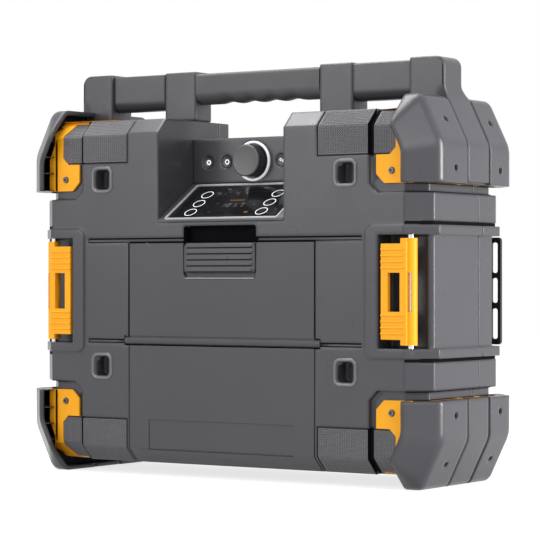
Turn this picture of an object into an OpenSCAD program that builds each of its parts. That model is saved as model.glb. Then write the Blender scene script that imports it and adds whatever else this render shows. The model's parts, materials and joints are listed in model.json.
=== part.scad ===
// Jobsite radio in a stackable tool-box housing, with a charging bay behind its front door.
// X runs across the front, the front faces -Y and Z is up. The origin lies on the ground
// under the middle of the radio. Lengths are in millimetres.

/* [Body] */
// Width of the body over its side blocks
body_w = 418; // [400:1:440]
// Depth of the body, front plane to back plane
body_d = 146; // [140:1:170]
// Height of the body shell
body_h = 313; // [308:1:330]
// Wall of the housings
wall = 3; // [2.5:0.5:4]
// Wall of the front face
front_wall = 4; // [3.5:0.5:5]
// Leg of the 45 degree cut on the upright corners
corner_cut = 18.6; // [14:0.2:22]
// Leg of the 45 degree cut on the top and bottom edges
edge_cut = 13.5; // [10:0.5:15]
// Depth of the front housing, front plane to the parting line
front_depth = 95.4; // [90:0.2:104]
// Height of the side blocks above and below the middle
block_half_h = 84.3; // [80:0.1:86]
// How far the necks beside the blocks are set in
neck_in = 6; // [4:0.5:8]
// Width of the gap between neighbouring covers
cover_gap = 0.7; // [0.4:0.1:1]

/* [Corner bumpers] */
// How far the bumpers stand out from the side blocks
bumper_proud = 11; // [9:0.5:14]
// How far the bumper lips stand out in front and behind
lip_proud = 12.5; // [10:0.5:15]
// How far the bumpers stand above and below the body
bumper_rise = 11.75; // [10:0.25:14]
// Height of each bumper
bumper_h = 74.5; // [70:0.5:76]
// Height of a bumper's upright side below its slanted face
bumper_side_h = 32.5; // [28:0.5:36]
// Width taken off the side by the slanted face
slant_w = 20.5; // [16:0.5:24]
// Width of the flat face above the slanted one
crown_w = 15.5; // [12:0.5:18]
// Leg of the cut on the front and rear edges
bumper_cut = 24.7; // [20:0.1:25]
// Shell thickness of the bumpers
bumper_wall = 5; // [4.5:0.5:6]
// Width of the slits that split a bumper in three
slit_w = 2.4; // [1.5:0.1:3]
// Depth of the slits
slit_depth = 3; // [2:0.1:3.2]
// Width of a bumper's middle band, between the slits
band_w = 38.3; // [36:0.1:40]
// Bore for the bumper screws' heads
screw_well_d = 5.4; // [5.2:0.1:6]

/* [Corner brackets] */
// Gap between a bracket's lower edge and the edge of its recess
bracket_low_gap = 7.7; // [6:0.1:9]
// Distance of the brackets' inner edge from the centre line
bracket_in_x = 160.7; // [158:0.1:164]
// Thickness of the bracket sheet
bracket_t = 2.5; // [2:0.1:3]
// How far the brackets' faces are set in from the body's
bracket_inset = 3; // [2:0.1:4]
// Width of the dark gap round the brackets
bracket_gap = 5.5; // [4:0.1:6.5]

/* [Grilles and speakers] */
// Distance of the grilles' inner edge from the centre line
grille_in_x = 102.6; // [101.5:0.1:105]
// Height of the grilles' near edge above the middle
grille_low = 116.5; // [114:0.5:119]
// Thickness of the grille mesh
grille_t = 1.4; // [1:0.1:1.8]
// Outer diameter of the speaker baskets
speaker_d = 48; // [44:1:50]
// Depth of the speaker baskets
speaker_depth = 20; // [16:1:24]
// Diameter of the speaker magnets
magnet_d = 30; // [24:1:34]

/* [Front door] */
// Width of the front door
door_w = 200; // [190:0.5:200.8]
// Height of the door above the middle
door_top = 42.9; // [40:0.1:43.5]
// Radius of the hinge barrel along the door's lower edge
barrel_r = 4; // [4:0.1:4.5]
// Radius of the door's hinge pins
hinge_pin_r = 1.5; // [1.2:0.1:1.8]
// Width of the door latch button
latch_button_w = 77; // [70:1:80]
// Height of the door latch button
latch_button_h = 26.5; // [24:0.5:28]
// Travel of the door latch
latch_travel = 4; // [3:0.5:4.5]

/* [Side latches] */
// Distance of the latch pins from the centre line
latch_pin_x = 193.1; // [192.5:0.1:193.6]
// Radius of the latch pins
latch_pin_r = 2.5; // [2:0.1:2.7]
// Half height of the latch windows
latch_window_h = 48.3; // [46:0.1:50]
// Half height of the latches
latch_half_h = 45.3; // [44:0.1:46]
// Height of the step at a latch's corners
latch_step_h = 4.6; // [3:0.1:6]
// Width of the slot in a latch
latch_slot_w = 11.5; // [8:0.5:12]
// Distance of the latch windows' inner edge from the centre line
latch_window_x = 165; // [163:0.5:166]
// Radius of the latches' hinge barrels
latch_barrel_r = 5.6; // [5.2:0.1:6]
// Width of the raised frame round a latch window
frame_w = 13; // [11:0.5:15]
// Height of the raised frame above and below a latch window
frame_h = 8.5; // [7:0.5:9]
// How far the raised frame stands out in front
frame_proud = 2; // [1:0.1:3]
// How far the frame's side ribs stand out
rib_proud = 4; // [2:0.1:5]

/* [Control panel] */
// Width of the notch in the top of the body
notch_w = 136; // [130:1:140]
// Depth of the notch, front plane to the control fascia
notch_d = 54; // [50:0.5:58]
// Height of the notch's front edge above the middle
notch_low = 64.2; // [63:0.1:66]
// Height of the fascia's lower edge above the middle
fascia_low = 97.8; // [95:0.1:100]
// Height of the fascia's upper edge above the middle
fascia_top = 139.3; // [137:0.1:142]
// Width of the light rim beside the display glass
display_rim = 8.6; // [6:0.1:10]
// Thickness of the display glass
glass_t = 1.2; // [1:0.1:1.6]
// Diameter of the display keys
key_d = 12; // [10:0.2:13]
// Spacing of the display keys along the slope
key_pitch = 15.5; // [14:0.1:16]
// Distance of the display keys from the centre line
key_x = 38.5; // [36:0.5:42]
// Diameter of the volume knob
knob_d = 30; // [26:0.5:32]
// How far the knob stands out from the fascia
knob_h = 13.5; // [11:0.5:16]
// Outer diameter of the light ring round the knob
ring_d = 36.5; // [35.5:0.1:38]
// Diameter of the round fascia buttons
button_d = 10.5; // [9:0.1:10.8]
// Distance between neighbouring fascia buttons
button_pitch = 21; // [20:0.5:22]
// Travel of the buttons and keys
button_travel = 0.8; // [0.5:0.1:1]

/* [Handle] */
// Distance of the handle's middle behind the front plane
handle_back = 71.4; // [69:0.1:74]
// Height of the end posts above the body
post_rise = 46.8; // [44:0.1:52]
// Width of the end posts
end_post_w = 34.6; // [32:0.1:36]
// Depth of the end posts
end_post_d = 31; // [29:0.5:34]
// Width of the inner posts
inner_post_w = 35; // [32:0.5:36]
// Depth of the bars, the grip and the inner posts
bar_d = 26; // [24:0.5:28]
// Height of the bars
bar_h = 33; // [30:0.5:34]
// Height of the grip
grip_h = 28; // [26:0.5:30]
// Pitch of the finger hollows under the grip
finger_pitch = 23.8; // [21:0.2:25]
// Diameter of the steel rod inside the handle
rod_d = 12; // [10:0.5:13]

/* [Sockets] */
// Distance of the stacking sockets from the centre line
socket_x = 131.7; // [130:0.1:133]
// Spacing of the stacking sockets, upper to lower
socket_pitch_z = 171; // [168:1:173]
// Height of the lower sockets above the ground
socket_low_z = 99; // [97:0.5:100]
// Width of a socket's hole
socket_w = 16; // [14:0.5:17]
// Height of a socket's hole
socket_h = 18; // [16:0.5:18.5]
// Depth of a socket
socket_depth = 14; // [12:0.5:16]

/* [Hidden] */
$fn = 48;
eps = 0.01;
slack = 0.3;
fit = 0.05;
fine = 32;

// Places worked out from the sizes above
half_w = body_w / 2;
half_d = body_d / 2;
half_h = body_h / 2;
mid_z = half_h + bumper_rise;
front_y = -half_d;
split_y = front_y + front_depth;
neck_x = half_w - neck_in;
reach = 400;

// Bumpers: outline of the upper right one, heights from the middle
bumper_x = half_w + bumper_proud;
bumper_top = half_h + bumper_rise;
bumper_low = bumper_top - bumper_h;
bend_z = bumper_low + bumper_side_h;
crown_x = bumper_x - slant_w;
bumper_in_x = crown_x - crown_w;
lip_y = half_d + lip_proud;
straight_y = lip_y - bumper_cut;
slant_dx = crown_x - bumper_x;
slant_dz = bumper_top - bend_z;
slant_len = norm([slant_dx, slant_dz]);
slant_nx = -slant_dz / slant_len;
slant_nz = slant_dx / slant_len;
lip_inset = bumper_cut + 3.8;
bumper_screw_ys = [-36.5, 42.2];
handle_mid_y = front_y + handle_back;
band_shift = 4.95;
band_mid_y = handle_mid_y + band_shift;
band_y = [band_mid_y - band_w / 2, band_mid_y + band_w / 2];
side_screw_z = bumper_low + 11.5;

// Corner core that carries a bracket and a bumper
core_bend = bend_z - 3.5;
core_top_x = crown_x - 14;
bracket_skin = bracket_inset + bracket_t;
bracket_chamfer = 8;
bracket_low = block_half_h + bracket_low_gap;
bracket_screw = [176.3, bracket_low + 10.7];

// Grilles and speakers
grille_out_x = bracket_in_x - bracket_gap;
grille_wing_x = 180;
grille_inset = 0.8;
speaker_x = (grille_in_x + grille_out_x) / 2;
speaker_z = half_h - wall - speaker_d / 2 - 1;
speaker_y = front_y + 17;
flange_t = 2;

// Door
door_half = door_w / 2;
opening_half = door_half + cover_gap;
door_low = -door_top - 1.6;
barrel_z = door_low - barrel_r / 2 + 1.2;
barrel_y = front_y + barrel_r;
barrel_half = door_half + 5.5;
pin_len = 20;
pocket_half = latch_button_w / 2 + 0.9;
pocket_low = door_top - latch_button_h - latch_travel - 0.9;
pocket_depth = 2.7;
stem_x = [21, 29];
hook_x = [latch_button_w / 2 + 3.5, latch_button_w / 2 + 8.5];
hook_t = 1.8;
hook_plate_z = [door_top - 11, door_top - 5];
hook_y = front_y + front_wall + slack;
finger_half = 39.5;
finger_z = [door_top + cover_gap, door_top + 15.4];
finger_depth = 13;

// Device bay behind the door
bay_half = 94;
bay_wall = 2.5;
bay_floor_gap = 3.4;
bay_roof_drop = 19;
bay_depth = 75.2;
bay_z = [barrel_z + barrel_r + bay_floor_gap, door_top - bay_roof_drop];
bay_front = front_y + front_wall + 1.8;
bay_back = bay_front + bay_depth;
bay_flange = 4.5;

// Grooves across the front
groove_half = 148;
groove_depth = 2;
groove_z = [door_top + cover_gap, door_top + 5];

// Notch, fascia and display
notch_half = notch_w / 2;
fascia_y = front_y + notch_d;
fascia_z = (fascia_low + fascia_top) / 2 + mid_z - 1;
slope_angle = atan2(fascia_low - notch_low, notch_d);
slope_len = norm([notch_d, fascia_low - notch_low]);
bezel_t = 4.5;
glass_half = notch_half - display_rim - slack;
glass_s = [2.2, slope_len - 3];
key_s = [for (i = [0:2]) slope_len / 2 - 4.5 + (i - 1) * key_pitch];
button_xs = [-1.5 * button_pitch - knob_d / 2 - 4.5 + 0.5, -button_pitch / 2 - 19.5,
             button_pitch / 2 + 19.5, 1.5 * button_pitch + knob_d / 2 + 4];
flare = 34;

// Latches
rear_cut = half_w + half_d - corner_cut - 7.6;
frame_in_x = latch_window_x - frame_w;
frame_half_h = latch_window_h + frame_h;
latch_pin_y = front_y + 6.4;
latch_end_x = 168;
latch_step_x = 187;
latch_t = 4.5;
window_out_x = half_w - 4;
well_d = 22;

// Handle
post_top = half_h + mid_z + post_rise;
handle_y = [handle_mid_y - bar_d / 2, handle_mid_y + bar_d / 2];
end_post_shift = 0.7;
end_post_y = [handle_mid_y - end_post_shift - end_post_d / 2,
              handle_mid_y - end_post_shift + end_post_d / 2];
end_post_in = 21;
end_post_x = [bumper_in_x - end_post_in, bumper_in_x - end_post_in + end_post_w];
rod_reach = 24;
inner_post_x = [notch_half, notch_half + inner_post_w];
bar_top = post_top - 2;
grip_top = post_top - 3.2;
rod_y = handle_mid_y;
rod_z = bar_top - bar_h / 2;

// Screw columns inside the housings: [distance from the centre line, height]
columns = [[150, mid_z + 72], [153, mid_z - 70.5], [112, mid_z - 18], [80, mid_z + 57.5]];
column_r = 4.6;

// ---- Shared helpers ----

// Extrudes an outline drawn in (Y, Z) from x0 to x1
module along_x(x0, x1) {
    translate([x0, 0, 0]) rotate([90, 0, 90]) linear_extrude(x1 - x0) children();
}

// Extrudes an outline drawn in (X, Z) from y0 to y1
module along_y(y0, y1) {
    translate([0, y1, 0]) rotate([90, 0, 0]) linear_extrude(y1 - y0) children();
}

// Extrudes an outline drawn in (X, Y) from z0 to z1
module along_z(z0, z1) {
    translate([0, 0, z0]) linear_extrude(z1 - z0) children();
}

// A box between two opposite corners
module block(low, high) {
    translate(low) cube(high - low);
}

// A rectangle with round corners between two opposite corners
module round_rect(low, high, r) {
    translate([low[0] + r, low[1]]) square([high[0] - low[0] - 2 * r, high[1] - low[1]]);
    translate([low[0], low[1] + r]) square([high[0] - low[0], high[1] - low[1] - 2 * r]);
    for (x = [low[0] + r, high[0] - r], y = [low[1] + r, high[1] - r])
        translate([x, y]) circle(r);
}

// A cylinder along Y from y0 to y1
module rod_y(x, z, r, y0, y1) {
    translate([x, y0, z]) rotate([-90, 0, 0]) cylinder(h = y1 - y0, r = r);
}

// A cylinder along X from x0 to x1
module rod_x(y, z, r, x0, x1) {
    translate([x0, y, z]) rotate([0, 90, 0]) cylinder(h = x1 - x0, r = r);
}

// Both sides of the radio
module both_sides() {
    children();
    mirror([1, 0, 0]) children();
}

// Places the upper right corner's shape at another corner: side is 1 or -1, level is 1 or -1.
// The shape's heights count from the radio's middle.
module at_corner(side, level) {
    translate([0, 0, mid_z]) mirror([side < 0 ? 1 : 0, 0, 0]) mirror([0, 0, level < 0 ? 1 : 0])
        children();
}

module at_all_corners() {
    for (side = [-1, 1], level = [-1, 1]) at_corner(side, level) children();
}

// Slope frame of the display: X across, Y up the slope, Z out of the glass
module on_slope() {
    translate([0, front_y, mid_z + notch_low]) rotate([slope_angle, 0, 0]) children();
}

// ---- Body form ----

// Plan of the body, set in by o, with its upright corners cut
module body_plan(o, w = half_w, f = 0) {
    c = corner_cut + f;
    k = (sqrt(2) - 1) * o;
    x = w - o;
    xc = half_w - corner_cut - k;
    yc = half_d - (corner_cut - (half_w - w)) - k;
    y = half_d - o;
    polygon([[-x, -yc], [-xc, -y], [xc, -y], [x, -yc], [x, yc], [xc, y], [-xc, y], [-x, yc]]);
}

// Side profile of the body, set in by o
module body_profile(o) {
    k = (sqrt(2) - 1) * o;
    y = half_d - o;
    z = half_h - o;
    yc = half_d - edge_cut - k;
    zc = half_h - edge_cut - k;
    polygon([[-y, -zc], [-yc, -z], [yc, -z], [y, -zc], [y, zc], [yc, z], [-yc, z], [-y, zc]]);
}

// Front outline of the body, set in by o, with its necks and corner cores
module body_outline(o) {
    x = half_w - o;
    n = neck_x - o;
    b = block_half_h - o;
    c = core_bend - o / 3;
    t = core_top_x - o / 2;
    z = half_h - o;
    half = [[x, 0], [x, b], [n, b], [n, c], [t, z]];
    low = [for (i = [len(half) - 1:-1:1]) [half[i][0], -half[i][1]]];
    right = concat(low, half);
    left = [for (i = [len(right) - 1:-1:0]) [-right[i][0], right[i][1]]];
    polygon(concat(right, left));
}

module body_form(o) {
    translate([0, 0, mid_z]) intersection() {
        along_z(-reach, reach) body_plan(o);
        along_x(-reach, reach) body_profile(o);
        along_y(-reach, reach) body_outline(o);
    }
}

// Corner region in front view, from its inner edge x and lower edge z, with a cut corner
module corner_region(x, z) {
    cut = bracket_chamfer;
    polygon([[x, z + cut], [x, reach], [reach, reach], [reach, z], [x + cut, z]]);
}

// Space round the upper right corner's core, whose own skin lies at depth o
module corner_pocket(o, x, z, g = 0) {
    difference() {
        intersection() {
            along_y(-reach, reach) corner_region(x, z);
            block([0, -reach, 0], [reach, reach, reach]);
        }
        bracket_form(o, -g);
    }
}

// Pocket that takes a bracket in the housings
module bracket_recess() {
    corner_pocket(bracket_skin + slack, bracket_in_x - bracket_gap, block_half_h);
}

// ---- Housings ----

// Notch in the top: open above the slope and the fascia, flared at the back
module notch_cut(grow = 0) {
    w = notch_half + grow;
    top = mid_z + half_h + 1;
    along_x(-w, w) polygon([
        [front_y - 1, top], [front_y - 1, mid_z + notch_low - grow * 1.2],
        [front_y, mid_z + notch_low - grow * 1.2], [fascia_y + grow, mid_z + fascia_low - grow * 1.2],
        [fascia_y + grow, mid_z + fascia_top - grow], [half_d + 1, mid_z + fascia_top - grow],
        [half_d + 1, top]]);
    along_z(mid_z + fascia_top - grow, top) polygon([
        [-w, half_d - flare], [w, half_d - flare], [w + flare + 1, half_d + 1],
        [-w - flare - 1, half_d + 1]]);
}

// Hollow inside of both housings
module body_hollow() {
    difference() {
        body_form(wall);
        block([-reach, -reach, 0], [reach, front_y + front_wall, 500]);
        at_all_corners() corner_pocket(bracket_skin + slack + wall, bracket_in_x - bracket_gap - wall,
            block_half_h - wall, wall);
        notch_cut(wall);
        both_sides() latch_well(wall);
    }
}

// Pocket behind a side latch, grown by g
module latch_well(g = 0) {
    h = latch_window_h + g;
    translate([0, 0, mid_z]) intersection() {
        block([latch_window_x - g, front_y - 5, -h], [window_out_x + g * 2, front_y + well_d + g, h]);
        along_z(-h, h) polygon([
            [0, -reach], [half_w - corner_cut + 200 + window_out_x - half_w, -reach],
            [window_out_x + g * 2, front_y - (half_w - corner_cut) + window_out_x + g],
            [window_out_x + g * 2, front_y + well_d + g], [0, front_y + well_d + g]]);
    }
}

// Raised frame round the latch windows, with ribs that run along the sides
module latch_frames() {
    rib_end = half_d - corner_cut;
    both_sides() translate([0, 0, mid_z]) intersection() {
        along_y(front_y - frame_proud, rib_end) difference() {
            union() {
                round_rect([frame_in_x, -frame_half_h], [frame_in_x + 40, frame_half_h], 8);
                translate([frame_in_x + 20, -frame_half_h]) square([reach, 2 * frame_half_h]);
            }
            translate([latch_window_x, -latch_window_h]) square([reach, 2 * latch_window_h]);
        }
        along_z(-reach, reach) difference() {
            polygon([[0, front_y - frame_proud], [half_w - corner_cut, front_y - frame_proud],
                [half_w + rib_proud, front_y + corner_cut + rib_proud - frame_proud],
                [half_w + rib_proud, rib_end], [0, rib_end]]);
            body_plan(front_wall - 1);
        }
    }
}

// Stacking socket: a raised rim round a blind hole, at the front plane
module socket_rim() {
    rim = 4;
    along_y(front_y - 1.2, front_y + socket_depth + 2) difference() {
        round_rect([-socket_w / 2 - rim, -socket_h / 2 - rim + 0.7],
            [socket_w / 2 + rim, socket_h / 2 + rim - 0.7], 6.5);
    }
}

module socket_hole() {
    along_y(front_y - 5, front_y + socket_depth)
        round_rect([-socket_w / 2, -socket_h / 2], [socket_w / 2, socket_h / 2], 4);
}

module at_sockets() {
    for (x = [-socket_x, socket_x], z = [socket_low_z, socket_low_z + socket_pitch_z])
        translate([x, 0, z]) children();
}

// Holes for a corner's bumper screws, of the given radius
module corner_screw_holes(r, from, to) {
    for (y = bumper_screw_ys) {
        translate([0, y, side_screw_z]) rotate([0, 90, 0]) translate([0, 0, bumper_x - from])
            cylinder(h = from - to, r = r);
        translate([slant_mid[0], y, slant_mid[1]]) rotate([0, slant_tilt, 0])
            translate([0, 0, -from]) cylinder(h = from - to, r = r);
    }
}

slant_mid = [(bumper_x + crown_x) / 2, (bend_z + bumper_top) / 2];
slant_tilt = atan2(-slant_nx, -slant_nz);

module column_set(r, y0, y1) {
    for (c = columns) both_sides() rod_y(c[0], c[1], r, y0, y1);
}

module front_housing() {
    color([0.36, 0.36, 0.38]) difference() {
        union() {
            intersection() {
                difference() {
                    body_form(0);
                    body_hollow();
                }
                block([-reach, -reach, 0], [reach, split_y, 500]);
            }
            intersection() {
                latch_frames();
                block([-reach, -reach, 0], [reach, split_y, 500]);
            }
            at_sockets() socket_rim();
            column_set(column_r, front_y + front_wall - 1, split_y);
            finger_pocket_wall();
            hinge_cheeks();
            speaker_posts();
        }
        front_cuts();
    }
}

// Room for the fascia and the display bezel in the notch's walls
module panel_room() {
    block([-notch_half, fascia_y - 1, mid_z + fascia_low - 3],
        [notch_half, fascia_y + fascia_t + 0.01, mid_z + fascia_top + 1]);
    block([-notch_half, fascia_y - 1, mid_z + fascia_low - 6],
        [notch_half, fascia_y + wall + 1, mid_z + fascia_top - wall]);
    along_x(-notch_half, notch_half) polygon(bezel_profile(bezel_t + 3));
}

// Side view of the display bezel, of the given thickness: a thin lip over the front wall, then
// the full slab
function bezel_profile(t) =
    let (z0 = mid_z + notch_low, z1 = mid_z + fascia_low, k = (fascia_low - notch_low) / notch_d)
    let (drop = t / cos(slope_angle), lip = glass_t / cos(slope_angle) + 0.9,
     y1 = front_y + front_wall + slack)
    [[front_y, z0 - lip], [front_y, z0], [fascia_y - 0.1, z1], [fascia_y - 0.1, z1 - drop],
     [y1, z0 + k * (y1 - front_y) - drop], [y1, z0 + k * (y1 - front_y) - lip],
     [y1 - 0.2, z0 - lip]];

// Openings in the front housing
module front_cuts() {
    low = mid_z - half_h;
    at_all_corners() bracket_recess();
    notch_cut();
    panel_room();
    both_sides() latch_well();
    both_sides() latch_pin_shape(fit, 6);
    at_sockets() socket_hole();
    // Door opening, with room for the hinge barrel below it
    block([-opening_half, front_y - 1, mid_z + barrel_z + barrel_r],
        [opening_half, front_y + front_wall + 1, mid_z + door_top + cover_gap]);
    block([-barrel_half - cover_gap, front_y - 1, mid_z + barrel_z - barrel_r - cover_gap],
        [barrel_half + cover_gap, front_y + 2 * barrel_r + 1, mid_z + barrel_z + barrel_r + slack]);
    both_sides() rod_x(barrel_y, mid_z + barrel_z, hinge_pin_r + fit / 2,
        barrel_half - 1, barrel_half + 7.5);
    // Opening for the lower front panel
    block([-opening_half, front_y - 1, low - 1],
        [opening_half, front_y + front_wall + 2, mid_z + barrel_z - barrel_r - slack]);
    block([-opening_half, front_y - 1, low - 1],
        [opening_half, front_y + edge_cut + 6, low + edge_cut + 2]);
    // Grille windows
    at_all_corners() block([grille_in_x, -reach, grille_low],
        [grille_out_x, front_y + 16, half_h + 1]);
    finger_pocket();
    for (s = [-1, 1]) for (z = [groove_z, [-groove_z[1], -groove_z[0] - 0.6]])
        block([s < 0 ? -groove_half : opening_half - 2, front_y - 1, mid_z + z[0]],
            [s < 0 ? -opening_half + 2 : groove_half, front_y + groove_depth, mid_z + z[1]]);
    block([-groove_half, front_y - 1, mid_z + groove_z[0]],
        [groove_half, front_y + groove_depth, mid_z + groove_z[1]]);
    column_set(1.6, front_y + front_wall + 8, split_y + 1);
    at_all_corners() corner_screw_holes(1.6, 30, -8);
    at_all_corners() rod_y(bracket_screw[0], bracket_screw[1], 1.6, front_y, front_y + 14);
    side_groove_cuts();
}

// Shadow grooves between the side ribs and the side blocks
module side_groove_cuts() {
    for (s = [-1, 1]) along_z(mid_z + s * (frame_half_h + 1.5) - 1.5, mid_z + s * (frame_half_h + 1.5) + 1.5)
        difference() {
            square([2 * reach, 2 * reach], center = true);
            body_plan(2);
            translate([-half_w + corner_cut / 2, -reach]) square([body_w - corner_cut, 2 * reach]);
        }
}

// Finger pocket above the door latch
module finger_pocket() {
    along_y(front_y - 1, front_y + finger_depth)
        translate([0, mid_z]) round_rect([-finger_half, finger_z[0] - 3], [finger_half, finger_z[1]], 2.5);
}

module finger_pocket_wall() {
    w = 1.7;
    difference() {
        block([-finger_half - w, front_y + front_wall - 1, mid_z + finger_z[0] + slack],
            [finger_half + w, front_y + finger_depth + w, mid_z + finger_z[1] + w]);
        block([-reach, front_y + 1, mid_z + finger_z[0] - 4],
            [reach, front_y + front_wall + slack, mid_z + finger_z[0] + 0.1]);
    }
}

// Blocks behind the front wall that hold the door's hinge pins
module hinge_cheeks() {
    both_sides() block([barrel_half + cover_gap, front_y + front_wall - 1, mid_z + barrel_z - 4],
        [barrel_half + 8.5, front_y + 2 * barrel_r + 1, mid_z + barrel_z + 4]);
}

// Posts on the front wall that carry the speaker baskets
module speaker_posts() {
    at_all_corners() for (dx = [-1, 1])
        rod_y(speaker_x + dx * speaker_d / sqrt(8), speaker_z - speaker_d / sqrt(8), 2.5,
            front_y + front_wall - 1, speaker_y);
}

module rear_housing() {
    peg = [socket_w - 1, socket_h - 1];
    color([0.34, 0.34, 0.36]) difference() {
        union() {
            intersection() {
                difference() {
                    body_form(0);
                    body_hollow();
                }
                block([-reach, split_y, 0], [reach, reach, 500]);
            }
            intersection() {
                latch_frames();
                block([-reach, split_y, 0], [reach, reach, 500]);
            }
            for (c = columns) both_sides() rod_y(c[0], c[1], column_r, split_y, half_d - 1);
            at_sockets() along_y(half_d - 1, half_d + lip_proud - 1)
                round_rect([-peg[0] / 2, -peg[1] / 2], [peg[0] / 2, peg[1] / 2], 4);
            board_posts();
        }
        notch_cut();
        at_all_corners() bracket_recess();
        // Seats of the rear catches
        both_sides() along_z(mid_z - latch_window_h, mid_z + latch_window_h) polygon([
            [rear_cut - half_d - 1, half_d + 1], [half_w + 10, rear_cut - half_w - 10],
            [half_w + 10, half_d + 1]]);
        column_set(1.8, split_y - 1, half_d + 1);
        column_set(3.6, half_d - 4, half_d + 1);
        at_all_corners() corner_screw_holes(1.6, 30, -8);
        inlet_opening();
        vent_slots();
        side_groove_cuts();
        // Shallow field in the middle of the back
        along_y(half_d - 1.2, half_d + 1) translate([0, mid_z])
            round_rect([-96, -118], [96, 118], 10);
    }
}

// Ventilation slots in the back
module vent_slots() {
    for (i = [0:8]) along_y(half_d - 10, half_d + 1) translate([24 + i * 7, mid_z - 96])
        round_rect([0, 0], [3, 44], 1.4);
}

inlet_x = -60;
inlet_z = mid_z - 118 + 34;
inlet_size = [27, 22];

module inlet_opening() {
    block([inlet_x - inlet_size[0] / 2 - fit, half_d - 10, inlet_z - inlet_size[1] / 2 - fit],
        [inlet_x + inlet_size[0] / 2 + fit, half_d + 1, inlet_z + inlet_size[1] / 2 + fit]);
}

board_w = 168;
board_h = 80;
board_low = -34;
board_gap = 14;
board_t = 1.6;
bolt_edge = 6;
board_x = [-board_w / 2, board_w / 2];
board_z = [board_low, board_low + board_h];
board_y = split_y + board_gap;
board_bolts = [for (x = [board_x[0] + bolt_edge, board_x[1] - bolt_edge],
                    z = [board_z[0] + bolt_edge, board_z[1] - bolt_edge]) [x, z]];
psu_w = 112;
psu_h = 68;
psu_left = 82;
psu_low = 16;
psu_gap = 10;
psu_bolt_edge = 5;
psu_x = [-psu_left, psu_w - psu_left];
psu_z = [-half_h + psu_low, -half_h + psu_low + psu_h];
psu_y = split_y + psu_gap;
psu_bolts = [for (x = [psu_x[0] + psu_bolt_edge, psu_x[1] - psu_bolt_edge],
                  z = [psu_z[0] + psu_bolt_edge, psu_z[1] - psu_bolt_edge]) [x, z]];

// Posts inside the back that carry the main board and the power supply
module board_posts() {
    for (b = board_bolts) rod_y(b[0], mid_z + b[1], 3.4, board_y + board_t, half_d - 1);
    for (b = psu_bolts) rod_y(b[0], mid_z + b[1], 3.4, psu_y + board_t, half_d - 1);
}

// ---- Lower front panel ----

panel_top = barrel_z - barrel_r - slack - 0.2;

module lower_front_panel() {
    low = -half_h;
    color([0.33, 0.33, 0.35]) translate([0, 0, mid_z]) {
        difference() {
            intersection() {
                along_x(-reach, reach) difference() {
                    body_profile(0);
                    body_profile(3);
                }
                along_y(front_y - 1, front_y + edge_cut + 5)
                    polygon([[-door_half, panel_top], [door_half, panel_top],
                        [door_half, low + edge_cut - 1.5], [-door_half, low + edge_cut - 1.5]]);
            }
            panel_field();
        }
        intersection() {
            along_x(-reach, reach) difference() {
                body_profile(0);
                body_profile(3);
            }
            along_y(front_y - 1, front_y + edge_cut + 5.5)
                polygon([[-door_half, low + edge_cut - 1.2], [door_half, low + edge_cut - 1.2],
                    [door_half, low], [-door_half, low]]);
        }
        // Lip that hooks behind the front wall
        for (s = [-1, 1]) block([s * 88 - 8, front_y + 2, panel_top - 12],
            [s * 88 + 8, front_y + 5, panel_top - 2]);
    }
}

// Shallow field in the panel's lower half, over the edge and down to the ground side
module panel_field() {
    intersection() {
        along_x(-78, 78) difference() {
            body_profile(-2);
            body_profile(0.8);
        }
        block([-reach, -reach, -reach], [reach, 0, 39.7 - half_h]);
    }
}

// ---- Control panel and display ----

module display_bezel() {
    color([0.5, 0.5, 0.52]) difference() {
        along_x(-notch_half + fit, notch_half - fit) polygon(bezel_profile(bezel_t));
        on_slope() along_z(-glass_t - 0.1, 1) round_rect([-glass_half - slack / 2, glass_s[0] - slack / 2],
            [glass_half + slack / 2, glass_s[1] + slack / 2], 1.5);
        on_slope() along_z(-bezel_t * 2, 1) round_rect([-glass_half + 2, 5.4],
            [glass_half - 2, glass_s[1] - 2], 1);
        on_slope() block([-glass_half + 2, -5, -bezel_t * 2], [glass_half - 2, 7, -glass_t - 0.8]);
    }
}

// Holes for the six display keys
module key_holes(r, z0, z1) {
    for (x = [-key_x, key_x], s = key_s) translate([x, s, z0]) cylinder(h = z1 - z0, r = r);
}

module display_glass() {
    color([0.04, 0.04, 0.05]) on_slope() difference() {
        along_z(-glass_t, -0.2) round_rect([-glass_half, glass_s[0]], [glass_half, glass_s[1]], 1.2);
        key_holes(key_d / 2 + slack, -5, 1);
    }
}

module lcd_module() {
    color([0.1, 0.11, 0.12]) on_slope()
        block([-27, slope_len / 2 - 17, -glass_t - 3.2], [27, slope_len / 2 + 17, -glass_t - 0.1]);
}

display_board_z = -glass_t - 3.4;

module display_board() {
    color([0.1, 0.35, 0.2]) on_slope() difference() {
        block([-glass_half + 3, 8, display_board_z - board_t],
            [glass_half - 3, slope_len - 6, display_board_z]);
    }
}

module fascia_holes(grow) {
    translate([0, 0, fascia_z]) {
        for (x = button_xs) rod_y(x, 0, button_d / 2 + grow, fascia_y - 5, fascia_y + 8);
        rod_y(0, 0, 4.2, fascia_y - 5, fascia_y + 8);
    }
}

fascia_t = 2.6;

module control_fascia() {
    color([0.35, 0.35, 0.37]) difference() {
        union() {
            along_y(fascia_y, fascia_y + fascia_t) translate([0, mid_z])
                polygon([[-notch_half + fit, fascia_low + 0.2], [notch_half - fit, fascia_low + 0.2],
                    [notch_half - fit, fascia_top], [-notch_half + fit, fascia_top]]);
            // Bosses that carry the control board
            for (x = [-56, 56], z = [-11, 11])
                rod_y(x, fascia_z + z, 2.6, fascia_y + 1, control_board_y);
        }
        fascia_holes(slack);
        // Seat for the light ring
        rod_y(0, fascia_z, ring_d / 2 + fit, fascia_y - 1, fascia_y + 1.2);
        // Dished surrounds of the buttons
        for (x = button_xs) translate([x, fascia_y - 0.4, fascia_z]) rotate([-90, 0, 0])
            cylinder(h = 1.6, r1 = button_d / 2 + 1.7, r2 = button_d / 2, $fn = fine);
    }
}

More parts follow.
